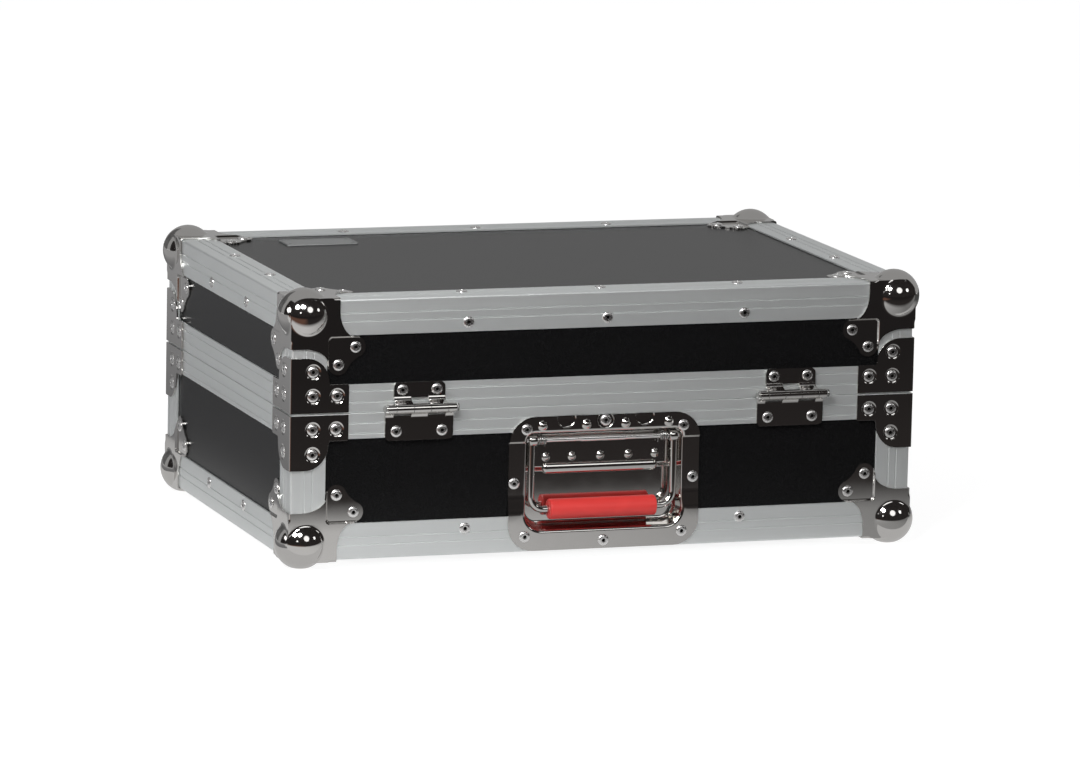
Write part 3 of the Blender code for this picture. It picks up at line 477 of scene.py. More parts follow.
@dataclass(frozen=True)
class RivetSteel:
    """Plated rivet heads, with shade painted dark into the hole that the broken mandrel leaves."""

    colour: Colour = (0.90, 0.89, 0.88)
    # Painted shade: the dark colour put into the rivet's hole.
    hole: Colour = (0.012, 0.011, 0.010)
    roughness: float = 0.20
    scuff_scale: float = 900.0
    hole_change: float = 0.4
    scuff_change: float = 0.14
    scuff_depth: float = 0.00002
    scuff_strength: float = 0.3

    def material(self) -> Material:
        """Bright steel, with shade painted dark into the hole, where the attribute of the hole's
        points is 1.

        Returns:
            The material.
        """
        graph = Graph("rivet_steel", Metallic=1.0)
        recess = graph.node("ShaderNodeAttribute", {"attribute_name": HOLE_SHADE}, {}, "Fac")
        scuffs = graph.noise(self.scuff_scale, detail=3.0)
        return graph.feed(
            Base_Color=graph.tint(recess, self.colour, self.hole),
            Roughness=recess * self.hole_change + scuffs * self.scuff_change + self.roughness,
            Normal=graph.bump(scuffs, self.scuff_depth, self.scuff_strength))


@dataclass(frozen=True)
class RedGrip:
    """Red moulded grip: satin, with a fine grain and rubbed places."""

    colour: Colour = (0.60, 0.036, 0.031)
    worn: Colour = (0.50, 0.028, 0.025)
    roughness: float = 0.32
    grain_scale: float = 1600.0
    grain_depth: float = 0.00002
    grain_change: float = 0.06
    rub_scale: float = 90.0
    rub_change: float = 0.14

    def material(self) -> Material:
        """A fine grain, darker and smoother where it is rubbed.

        Returns:
            The material.
        """
        graph = Graph("red_grip", Specular_IOR_Level=0.45)
        grain = graph.noise(self.grain_scale)
        rub = graph.noise(self.rub_scale, detail=3.0)
        return graph.feed(
            Base_Color=graph.tint(rub, self.worn, self.colour),
            Roughness=rub * self.rub_change + grain * self.grain_change + self.roughness,
            Normal=graph.bump(grain, self.grain_depth))


@dataclass(frozen=True)
class CellFoam:
    """Charcoal foam with open cells."""

    # Painted shade: the colour of the pores, the low places of the bump.
    pore_shade: Colour = (0.006, 0.006, 0.0065)
    skin: Colour = (0.034, 0.034, 0.036)
    cell_scale: float = 900.0
    cell_share: float = 0.6
    cell_depth: float = 0.0004
    cell_strength: float = 0.8
    coarse_scale: float = 240.0
    coarse_share: float = 0.5
    skin_levels: Flat = (0.25, 0.75)

    def material(self) -> Material:
        """Shade painted dark into the pores, where the bump is low, between paler skins.

        Returns:
            The material.
        """
        graph = Graph("cell_foam", Roughness=0.95, Specular_IOR_Level=0.2)
        cells = graph.node("ShaderNodeTexVoronoi", {}, {
            "Vector": graph.place(), "Scale": self.cell_scale}, "Distance")
        coarse = graph.noise(self.coarse_scale, detail=5.0)
        height = cells * self.cell_share + coarse * self.coarse_share
        # The colour follows the bump's height: shade is painted into its hollows.
        return graph.feed(
            Base_Color=graph.tint(graph.between(height, *self.skin_levels), self.pore_shade, self.skin),
            Normal=graph.bump(height, self.cell_depth, self.cell_strength))


@dataclass(frozen=True)
class PlateMetal:
    """Brushed grey sheet of the bare plate on the lid."""

    colour: Colour = (0.50, 0.51, 0.51)
    roughness: float = 0.28
    brush_scale: float = 1800.0
    brush_shade: float = 0.8
    brush_change: float = 0.15
    brush_depth: float = 0.00001

    def material(self) -> Material:
        """Brushing along the plate.

        Returns:
            The material.
        """
        graph = Graph("plate_metal", Metallic=1.0)
        brush = graph.noise(self.brush_scale, Run.X.value, 3.0)
        return graph.feed(
            Base_Color=graph.tint(brush, dimmed(self.colour, self.brush_shade), self.colour),
            Roughness=brush * self.brush_change + self.roughness,
            Normal=graph.bump(brush, self.brush_depth))


@cache
def finished(finish: object) -> Material:
    """The material of a finish, made when it is first asked for."""
    return finish.material()


# Shapes

def arc(centre: Flat, radius: Union[float, Flat], start: float, end: float, steps: int) -> Outline:
    """Points on an arc of a circle or an ellipse.

    Args:
        centre: of the arc.
        radius: one, or one along each axis.
        start: angle in degrees.
        end: the same.
        steps: how many.

    Returns:
        The points, with both ends.
    """
    rx, ry = radius if isinstance(radius, tuple) else (radius, radius)
    angles = [math.radians(start + (end - start) * i / steps) for i in range(steps + 1)]
    return [(centre[0] + rx * math.cos(a), centre[1] + ry * math.sin(a)) for a in angles]


def groove(at: float) -> Outline:
    """A groove drawn in an extrusion: (along its face, depth)."""
    mouth, floor, depth = CASE.groove_mouth, CASE.groove_floor, CASE.groove_depth
    return [(at - mouth, 0), (at - floor, depth), (at + floor, depth), (at + mouth, 0)]


def both_ways(half: Outline) -> Outline:
    """A profile with two like ends, from the half where the place along it is positive."""
    return [(-along, r) for along, r in half] + half[::-1]


def rounded_rectangle(left: float, right: float, low: float, high: float, radius: float,
                      top_radius: float, steps: int) -> Outline:
    """Outline of a rectangle with round corners, anticlockwise.

    Args:
        left, right, low, high: its sides.
        radius: of the lower corners.
        top_radius: of the upper ones.
        steps: in a corner.

    Returns:
        The outline.
    """
    outline: Outline = []
    for x, y, r, start in ((right, low, radius, -90), (right, high, top_radius, 0),
                           (left, high, top_radius, 90), (left, low, radius, 180)):
        middle = ((left + right) / 2, (low + high) / 2)
        centre = (x - math.copysign(r, x - middle[0]), y - math.copysign(r, y - middle[1]))
        outline += arc(centre, r, start, start + 90, steps)
    return outline


def smooth_step(value: float) -> float:
    """0 below 0, 1 above 1, with a soft start and end."""
    value = max(0.0, min(1.0, value))
    return value * value * (3 - 2 * value)


PLANES: dict[str, Callable[[float, float, float], Place]] = {
    "X": lambda a, b, h: (h, a, b),
    "Y": lambda a, b, h: (a, h, b),
    "Z": lambda a, b, h: (a, b, h),
}


class Form:
    """A mesh in the making: a bmesh and the operators that these pieces use."""

    def __init__(self, mesh: Union[Mesh, None] = None) -> None:
        """Start empty, or from a mesh.

        Args:
            mesh: to start from, if any.
        """
        self.bm = bmesh.new()
        if mesh:
            self.bm.from_mesh(mesh)

    def ring(self, points: Iterable[Sequence[float]]) -> list[BMEdge]:
        """A closed ring of edges through points."""
        verts = [self.bm.verts.new(p) for p in points]
        return [self.bm.edges.new((a, b)) for a, b in zip(verts, verts[1:] + verts[:1])]

    def face(self, points: Iterable[Sequence[float]]) -> BMFace:
        """A flat face through points."""
        return self.bm.faces.new([self.bm.verts.new(p) for p in points])

    def prism(self, outline: Outline, axis: str, low: float, high: float) -> "Form":
        """A solid that runs along an axis with a constant outline.

        Args:
            outline: of its end.
            axis: X, Y or Z.
            low, high: its ends along the axis.

        Returns:
            This form.
        """
        to_space = PLANES[axis]
        face = self.face(to_space(a, b, low) for a, b in outline)
        grown = bmesh.ops.extrude_face_region(self.bm, geom=[face])["geom"]
        verts = [v for v in grown if isinstance(v, BMVert)]
        bmesh.ops.translate(self.bm, vec=to_space(0, 0, high - low), verts=verts)
        return self

    def sweep(self, stations: Sequence[Sequence[Sequence[float]]]) -> "Form":
        """A solid through loops that have the same number of points.

        Args:
            stations: the loops, in order.

        Returns:
            This form.
        """
        loops = [self.ring(points) for points in stations]
        for first, second in zip(loops, loops[1:]):
            for one, two in zip(first, second):
                self.bm.faces.new((one.verts[0], one.verts[1], two.verts[1], two.verts[0]))
        for loop in (loops[0], loops[-1]):
            self.bm.faces.new([edge.verts[0] for edge in loop])
        return self

    def turned(self, profile: Outline, axis: str, centre: Flat = (0, 0), segments: int = 32,
               hollow: bool = False) -> "Form":
        """A solid turned about an axis from (place along it, radius) pairs.

        Args:
            profile: the outline to turn.
            axis: X, Y or Z.
            centre: where the axis lies, on the plane across it.
            segments: faces round the turn.
            hollow: whether the outline closes on itself, as a tube's does.

        Returns:
            This form.
        """
        points = list(profile)
        if not hollow:
            points = [(profile[0][0], 0.0)] + points + [(profile[-1][0], 0.0)]
        for vert in self.bm.verts:
            vert.tag = True
        verts = [self.bm.verts.new((r, 0, along)) for along, r in points]
        pairs = list(zip(verts, verts[1:])) + ([(verts[-1], verts[0])] if hollow else [])
        edges = [self.bm.edges.new(pair) for pair in pairs]
        bmesh.ops.spin(self.bm, geom=verts + edges, cent=(0, 0, 0), axis=(0, 0, 1),
                       angle=math.tau, steps=segments, use_merge=True)
        made = [v for v in self.bm.verts if not v.tag]
        turn = {"X": Matrix.Rotation(math.pi / 2, 4, "Y"), "Z": Matrix.Identity(4),
                "Y": Matrix.Rotation(-math.pi / 2, 4, "X")}[axis]
        place = Matrix.Translation(PLANES[axis](*centre, 0)) @ turn
        bmesh.ops.transform(self.bm, matrix=place, verts=made)
        return self

    def tube(self, points: Iterable[Sequence[float]], radius: float, segments: int = 12) -> "Form":
        """A round wire through points.

        Args:
            points: along its middle.
            radius: of the wire.
            segments: faces round it.

        Returns:
            This form.
        """
        path = [Vector(p) for p in points]
        across = ASKEW
        stations = []
        for i, point in enumerate(path):
            along = (path[min(i + 1, len(path) - 1)] - path[max(i - 1, 0)]).normalized()
            across = (across - along * across.dot(along)).normalized()
            other = along.cross(across)
            turns = [math.tau * k / segments for k in range(segments)]
            stations.append([point + radius * (across * math.cos(a) + other * math.sin(a))
                             for a in turns])
        return self.sweep(stations)

    def loft(self, loops: Sequence[Sequence[Sequence[float]]]) -> "Form":
        """A sheet through loops with the same number of points; the last one is filled.

        Args:
            loops: from the edge inwards.

        Returns:
            This form.
        """
        rings = [[self.bm.verts.new(p) for p in points] for points in loops]
        for first, second in zip(rings, rings[1:]):
            for i in range(len(first)):
                self.bm.faces.new((first[i - 1], first[i], second[i], second[i - 1]))
        self.bm.faces.new(rings[-1])
        return self

    def cut(self, point: Sequence[float], normal: Sequence[float], clear: bool = False) -> "Form":
        """Cut along a plane.

        Args:
            point: on the plane.
            normal: of the plane.
            clear: whether what lies beyond it goes.

        Returns:
            This form.
        """
        geometry = self.bm.verts[:] + self.bm.edges[:] + self.bm.faces[:]
        bmesh.ops.bisect_plane(self.bm, geom=geometry, plane_co=point, plane_no=normal,
                               clear_outer=clear, dist=WELD)
        return self

    def merge(self, join: float = WELD) -> "Form":
        """Merge doubles and turn the faces outwards.

        Args:
            join: distance within which points merge.

        Returns:
            This form.
        """
        bmesh.ops.remove_doubles(self.bm, verts=self.bm.verts, dist=join)
        bmesh.ops.recalc_face_normals(self.bm, faces=self.bm.faces)
        return self

    def sharp_edges(self, angle: float = 40.0,
                    where: Callable[[Vector], bool] = lambda middle: True) -> list[BMEdge]:
        """Edges between faces that meet at more than an angle.

        Args:
            angle: in degrees.
            where: test on the middle of an edge.

        Returns:
            The edges.
        """
        limit = math.radians(angle)
        return [e for e in self.bm.edges if len(e.link_faces) == 2
                and e.calc_face_angle(0.0) > limit
                and where((e.verts[0].co + e.verts[1].co) / 2)]

    def bevel(self, width: float, segments: int = 2, angle: float = 40.0,
              where: Callable[[Vector], bool] = lambda middle: True) -> "Form":
        """Round the sharp edges.

        Args:
            width: of the rounding.
            segments: faces across it.
            angle: in degrees, from which an edge is sharp.
            where: test on the middle of an edge.

        Returns:
            This form.
        """
        bmesh.ops.bevel(self.bm, geom=self.sharp_edges(angle, where), offset=width,
                        offset_type="OFFSET", segments=segments, profile=0.5, material=-1,
                        affect="EDGES", clamp_overlap=True)
        return self

    def add(self, other: Mesh, place: Matrix = Matrix.Identity(4)) -> "Form":
        """Join a moved copy of a mesh.

        Args:
            other: the mesh.
            place: where the copy goes.

        Returns:
            This form.
        """
        copy = other.copy()
        copy.transform(place)
        if place.determinant() < 0:
            copy.flip_normals()
        self.bm.from_mesh(copy)
        bpy.data.meshes.remove(copy)
        return self

    def mesh(self, name: str, outwards: bool = True) -> Mesh:
        """The finished mesh.

        Args:
            name: its name.
            outwards: whether its faces are turned outwards.

        Returns:
            The mesh.
        """
        if outwards:
            bmesh.ops.recalc_face_normals(self.bm, faces=self.bm.faces)
        mesh = bpy.data.meshes.new(name)
        self.bm.to_mesh(mesh)
        self.bm.free()
        return mesh


def linked(name: str, data: ID) -> Object:
    """A new object in the scene.

    Args:
        name: its name.
        data: its mesh, lamp or camera.

    Returns:
        The object.
    """
    item = bpy.data.objects.new(name, data)
    bpy.context.scene.collection.objects.link(item)
    return item


def evaluated(item: Object) -> Mesh:
    """The mesh of an object with its modifiers applied; the object is removed.

    Args:
        item: the object.

    Returns:
        The mesh.
    """
    graph = bpy.context.evaluated_depsgraph_get()
    mesh = bpy.data.meshes.new_from_object(item.evaluated_get(graph))
    bpy.data.objects.remove(item)
    return mesh


def carved(mesh: Mesh, *steps: tuple[str, Mesh]) -> Mesh:
    """A mesh joined with or cut by others.

    Args:
        mesh: to work on.
        steps: (operation, mesh) of each.

    Returns:
        The result.
    """
    item = linked("workpiece", mesh)
    tools = []
    for operation, tool_mesh in steps:
        tool = linked("tool", tool_mesh)
        change = item.modifiers.new(operation, "BOOLEAN")
        change.operation, change.solver, change.object = operation, "EXACT", tool
        tools.append(tool)
    result = evaluated(item)
    for tool in tools:
        bpy.data.objects.remove(tool)
    form = Form(result)
    bmesh.ops.remove_doubles(form.bm, verts=form.bm.verts, dist=WELD)
    bmesh.ops.dissolve_degenerate(form.bm, edges=form.bm.edges, dist=WELD)
    form.bm.to_mesh(result)
    form.bm.free()
    return result


def thickened(mesh: Mesh, thickness: float) -> Mesh:
    """A sheet with a thickness, grown inwards from its outer face.

    Args:
        mesh: the sheet.
        thickness: to give it.

    Returns:
        Its mesh.
    """
    item = linked("workpiece", mesh)
    wall = item.modifiers.new("wall", "SOLIDIFY")
    wall.thickness, wall.offset, wall.use_even_offset = thickness, -1, True
    return evaluated(item)


def deliver(mesh: Mesh, name: str, finish: object, body: str,
            replaces: Iterable[str] = (), smooth: float = 35.0) -> Object:
    """Make a finished piece of the object.

    Args:
        mesh: its shape, with its place in it.
        name: its name.
        finish: what it is finished in.
        body: the body that it rides on.
        replaces: the nodes that it stands for.
        smooth: angle in degrees up to which neighbouring faces shade as one.

    Returns:
        The object.
    """
    mesh.name = name
    mesh.materials.clear()
    mesh.materials.append(finished(finish))
    mesh.shade_smooth()
    mesh.set_sharp_from_angle(angle=math.radians(smooth))
    piece = linked(name, mesh)
    flats = piece.modifiers.new("flats", "WEIGHTED_NORMAL")
    flats.keep_sharp = True
    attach(piece, body)
    nodes = list(replaces)
    if nodes:
        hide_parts(*nodes)
    LOG.info("%s: %d faces, on %s", name, len(mesh.polygons), body)
    return piece


def refined(node: str, width: float) -> Mesh:
    """A copy of a solid's mesh with its sharp edges rounded.

    Args:
        node: of the solids.
        width: of the rounding.

    Returns:
        Its mesh.
    """
    form = Form(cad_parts[node].data)
    bmesh.ops.remove_doubles(form.bm, verts=form.bm.verts, dist=WELD)
    bmesh.ops.dissolve_limit(form.bm, angle_limit=FACET_ANGLE, verts=form.bm.verts,
                             edges=form.bm.edges)
    return form.bevel(width, 2, 50.0).mesh(node)


def strip(path: Outline, thickness: float) -> Outline:
    """Outline of a sheet seen on its edge, along a centre line.

    Args:
        path: the line.
        thickness: of the sheet.

    Returns:
        The outline.
    """
    left, right = [], []
    for i, (a, b) in enumerate(path):
        before, after = path[max(i - 1, 0)], path[min(i + 1, len(path) - 1)]
        along = Vector((after[0] - before[0], after[1] - before[1])).normalized()
        left.append((a - along.y * thickness / 2, b + along.x * thickness / 2))
        right.append((a + along.y * thickness / 2, b - along.x * thickness / 2))
    return left + right[::-1]


def dimple(radius: float, depth: float, floor: float = 0.70) -> Mesh:
    """Cutter for a pressed dimple: upright at the origin, its floor below z = 0.

    Args:
        radius: at the face that it is pressed in.
        depth: of its floor.
        floor: radius of the floor, as a share.

    Returns:
        Its mesh.
    """
    shares = ((-1.0, 0.0), (-0.92, 0.33), (-0.62, 0.67), (-0.24, 0.90), (-0.05, 1.0), (0.5, 1.35))
    profile = [(z * depth, radius * (floor + (1 - floor) * out)) for z, out in shares]
    return Form().turned(profile, "Z", segments=36).merge().mesh("dimple")


def bump(radius: float, height: float, skirt: float = 0.0006) -> Mesh:
    """A pressed dome, upright at the origin, with a small fillet round its foot.

    Args:
        radius: of the dome.
        height: of the dome.
        skirt: width of the fillet.

    Returns:
        Its mesh.
    """
    ball = (radius ** 2 + height ** 2) / (2 * height)
    start = math.degrees(math.asin(radius / ball))
    cap = arc((height - ball, 0), ball, start, 0, 7)
    foot = [(-skirt, radius + skirt), (-0.02 * skirt, radius + skirt),
            (0.12 * skirt, radius + 0.45 * skirt), (0.5 * skirt, radius + 0.1 * skirt)]
    profile = foot + [(along, r) for along, r in cap if along > 0.6 * skirt]
    return Form().turned(profile[:-1], "Z", segments=24).merge().mesh("bump")


STAND = Matrix.Rotation(math.pi / 2, 4, "X")
MIRROR = Matrix(((0, 1, 0, 0), (1, 0, 0, 0), (0, 0, 1, 0), (0, 0, 0, 1)))
THIRD = Matrix(((0, 0, 1, 0), (1, 0, 0, 0), (0, 1, 0, 0), (0, 0, 0, 1)))
THIRDS = (Matrix.Identity(4), THIRD, THIRD @ THIRD)


def standing(x: float, depth: float, z: float) -> Matrix:
    """Place on a side for what is made upright at the origin, which then faces out."""
    return Matrix.Translation((x, depth, z)) @ STAND


def placed(mesh: Mesh, place: Matrix) -> Mesh:
    """A copy of a mesh, moved.

    Args:
        mesh: to copy.
        place: where the copy goes.

    Returns:
        The copy.
    """
    copy = mesh.copy()
    copy.transform(place)
    return copy


def pressed(form: Form, axis: int, width: float, join: float = WELD) -> Mesh:
    """A pressed sheet, with its thickness and its edges rounded.

    Args:
        form: its outer face, which looks down an axis where it is lowest.
        axis: 0, 1 or 2.
        width: of the rounding.
        join: distance within which points merge.

    Returns:
        Its mesh.
    """
    form.merge(join)
    lowest = min(form.bm.faces, key=lambda face: face.calc_center_median()[axis])
    if lowest.normal[axis] > 0:
        bmesh.ops.reverse_faces(form.bm, faces=form.bm.faces)
    sheet = thickened(form.mesh("sheet", outwards=False), CASE.sheet)
    return Form(sheet).bevel(width, 2, 60.0).mesh("pressing")


def dress(node: str, finish: object) -> None:
    """Give a node of the solids its finish.

    Args:
        node: of the solids.
        finish: what it is finished in.
    """
    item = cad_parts[node]
    item.data.materials.clear()
    item.data.materials.append(finished(finish))
    LOG.info("%s: kept from the solids", node)


# Rivets

@dataclass
class Rivets:
    """Blind rivets: a domed head with a ring round the hole of its mandrel."""

    head: float = 0.00475
    height: float = 0.0014
    hole: float = 0.0014
    segments: int = 16
    groups: dict[tuple[str, str], list[Matrix]] = field(default_factory=dict)

    def add(self, body: str, group: str, place: Matrix, spots: Iterable[Flat],
            level: float = 0.0) -> None:
        """Set rivets.

        Args:
            body: the body that they ride on.
            group: the piece that they belong to.
            place: from the frame of the spots to the world; heads point along its -Y.
            spots: (x, z) of each.
            level: their y.
        """
        for x, z in spots:
            self.groups.setdefault((body, group), []).append(place @ standing(x, level, z))

    def head_mesh(self) -> Mesh:
        """One head, upright at the origin.

        Returns:
            Its mesh.
        """
        r, h, hole = self.head, self.height, self.hole
        profile = [(0.0, r), (0.2 * h, r), (0.62 * h, 0.90 * r), (0.92 * h, 0.68 * r),
                   (h, 0.48 * r), (0.9 * h, hole * 1.12), (0.6 * h, hole), (0.12 * h, hole * 0.9)]
        form = Form().turned(profile, "Z", segments=self.segments).merge()
        mesh = form.mesh("rivet_head")
        # Mark the points of the hole, where the rivet steel paints its shade.
        recess = mesh.attributes.new(HOLE_SHADE, "FLOAT", "POINT")
        inside = [vert.co.xy.length < hole * 1.05 and vert.co.z > 0.05 * h
                  for vert in mesh.vertices]
        recess.data.foreach_set("value", [1.0 if deep else 0.0 for deep in inside])
        return mesh

    def build(self) -> None:
        """Join each group's heads into one piece."""
        head = self.head_mesh()
        for (body, group), places in self.groups.items():
            form = Form()
            for place in places:
                form.add(head, place)
            deliver(form.mesh(group), group, RivetSteel(), body, smooth=50.0)


RIVETS = Rivets()


# Boards and extrusions

class Boards:
    """The laminated plywood, whose shapes are the solids' own."""

    def build(self) -> None:
        """Dress the panels and walls."""
        for node in ("base_floor_panel", "base_wall_ring", "lid_top_panel", "lid_wall_ring"):
            dress(node, Laminate())


@dataclass
class EdgeTrim:
    """Aluminium edge angle with two grooves in each leg, and the corner posts."""

    grooves: Flat = (0.0118, 0.0186)
    lip: float = 0.00035
    post_trim: float = 0.008

    def grooved(self, end: float) -> Outline:
        """Outer face of a leg, from the arris to its free edge: (along, depth).

        Args:
            end: length of the leg.

        Returns:
            The line.
        """
        line: Outline = []
        for at in self.grooves:
            if at + CASE.groove_mouth < end:
                line += groove(at)
        return line + [(end - self.lip, 0), (end, self.lip)]

    def section(self, low_leg: float = CASE.angle_leg) -> Outline:
        """Section with its arris at the origin; the leg up the side may be cut short.

        Args:
            low_leg: length of that leg.

        Returns:
            The outline.
        """
        wall, r = CASE.angle_wall, CASE.angle_round
        across = self.grooved(CASE.angle_leg)
        up = self.grooved(low_leg)
        outline = arc((r, r), r, 180, 270, 5) + across
        outline += [(CASE.angle_leg, wall), (wall, wall), (wall, low_leg)]
        return outline + [(b, a) for a, b in reversed(up)]

    def build_edge(self, half: Half, side: Side) -> None:
        """The angle along one side of a half.

        Args:
            half: the base or the lid.
            side: the side that it runs along.
        """
        length = side.half_length - CASE.angle_leg - CASE.gap
        label = half.side_label(side)
        form = Form()
        if half.tongue and side is Side.FRONT:
            form.prism(self.section(), "X", -length, -CASE.pan_half)
            form.prism(self.section(CASE.pan_low), "X", -CASE.pan_half, CASE.pan_half)
            form.prism(self.section(), "X", CASE.pan_half, length)
        else:
            form.prism(self.section(), "X", -length, length)
        mesh = form.mesh("edge")
        world = half.world @ side.frame
        mesh.transform(world)
        ends = side in (Side.FRONT, Side.BACK)
        node = f"{half.name}_edge_{label}" if ends else f"{half.name}_side_frame_{label}"
        deliver(mesh, f"{half.name}_edge_angle_{label}", DrawnAluminium(Run.X if ends else Run.Y),
                half.name, [node])
        self.rivet(half, side, world)

    def rivet(self, half: Half, side: Side, world: Matrix) -> None:
        """Rivets along both legs of an angle.

        Args:
            half: the base or the lid.
            side: the side that it runs along.
            world: the frame of its place in the world.
        """
        spots = (-CASE.rivet_along, 0.0, CASE.rivet_along)
        if side in (Side.LEFT, Side.RIGHT):
            spots = (-CASE.side_rivet, CASE.side_rivet)
        group = f"{half.name}_edge_rivets"
        up = [x for x in spots if x or not (half.tongue and side is Side.FRONT)]
        RIVETS.add(half.name, group, world, [(x, CASE.rivet_line) for x in up])
        RIVETS.add(half.name, group, world @ STAND, [(x, -CASE.top_rivet_line) for x in spots])

    def build_posts(self, half: Half) -> None:
        """The four posts of a half.

        Args:
            half: the base or the lid.
        """
        for world, label in map(half.corner, range(4)):
            top = half.height - half.rim - CASE.gap
            mesh = Form().prism(self.section(), "Z", self.post_trim, top).mesh("post")
            mesh.transform(world)
            side = label.split("_")[1]
            deliver(mesh, f"{half.name}_post_{label}", DrawnAluminium(Run.Z), half.name,
                    [f"{half.name}_side_frame_{side}"])

    def build(self) -> None:
        """All edge angles and posts."""
        for half in HALVES:
            for side in Side:
                self.build_edge(half, side)
            self.build_posts(half)


@dataclass
class ClosingRims:
    """The extrusions that close the halves on each other, mitred at the corners."""

    web: float = 0.004
    tongue_setback: float = 0.005
    tongue_width: float = 0.003
    tongue_height: float = 0.004
    groove_clearance: float = 0.001
    groove_roof: float = 0.002
    round: float = 0.0007
    tongue_lip: float = 0.0006
    edge_lip: float = 0.0003
    base_lines: Flat = (0.0088, 0.0172)
    lid_lines: Flat = (0.0087, 0.0180)
    latch_at: float = 0.140
    latch_half: float = 0.0288

    def outline(self, half: Half) -> Outline:
        """Section of a rim: (depth from the outer face, height).

        Args:
            half: the base or the lid.

        Returns:
            The outline.
        """
        top = half.height - CASE.gap / 2
        wall = CASE.angle_wall
        channel = CASE.inset + CASE.ply + CASE.gap
        far, near, clear = channel + wall, self.tongue_setback, self.groove_clearance
        if half.tongue:
            roof = top - self.web
            lip = self.tongue_lip
            high = top + self.tongue_height
            detail = [(near + self.tongue_width, top), (near + self.tongue_width, high - lip),
                      (near + self.tongue_width - lip, high), (near + lip, high),
                      (near, high - lip), (near, top)]
        else:
            floor = top - self.tongue_height - clear
            roof = floor - self.groove_roof
            detail = [(near + self.tongue_width + clear, top),
                      (near + self.tongue_width + clear, floor),
                      (near - clear, floor), (near - clear, top)]
        low = half.height - CASE.inner_flange
        foot = half.height - half.rim
        lip = self.edge_lip
        outline = [(lip, foot), (wall, foot), (wall, roof), (channel, roof), (channel, low),
                   (far, low), (far, top - lip), (far - lip, top), *detail]
        outline += arc((self.round, top - self.round), self.round, 90, 180, 4)
        for below in (self.base_lines if half.tongue else self.lid_lines):
            outline += [(depth, z) for z, depth in reversed(groove(half.height - below))]
        return outline + [(0, foot + lip)]

    def build_length(self, half: Half, side: Side, ends: Flat, name: str,
                     node: str) -> None:
        """One length of rim.

        Args:
            half: the base or the lid.
            side: the side that it runs along.
            ends: where it starts and stops along the side; one at the case's
                corner is mitred there.
            name: name of the piece.
            node: the node that it stands for.
        """
        outline = self.outline(half)
        mitre_gap = CASE.gap / 2 * math.sqrt(2)
        stations = []
        for end in ends:
            mitred = abs(abs(end) - side.half_length) < CASE.gap
            sign = math.copysign(1.0, end)
            stations.append([(end - sign * (d + mitre_gap) if mitred else end, d, z)
                             for d, z in outline])
        mesh = Form().sweep(stations).mesh("rim")
        mesh.transform(half.world @ side.frame)
        run = Run.X if side in (Side.FRONT, Side.BACK) else Run.Y
        deliver(mesh, name, DrawnAluminium(run), half.name, [node])

    def build(self) -> None:
        """All lengths; those at the back stop at the latches."""
        for half in HALVES:
            for side in Side:
                label = half.side_label(side)
                name = f"{half.name}_rim_{label}"
                reach = side.half_length
                piece = f"{half.name}_closing_rim_{label}"
                if side is not Side.BACK:
                    self.build_length(half, side, (-reach, reach), piece, name)
                    continue
                inner, outer = self.latch_at - self.latch_half, self.latch_at + self.latch_half
                self.build_length(half, side, (-inner, inner), piece, name)
                for ends in ((-reach, -outer), (outer, reach)):
                    x = (half.world @ side.frame @ Vector((sum(ends), 0, 0))).x
                    hand = "right" if x > 0 else "left"
                    self.build_length(half, side, ends, f"{piece}_{hand}",
                                      f"{half.name}_rim_{hand}")


# Corner fittings

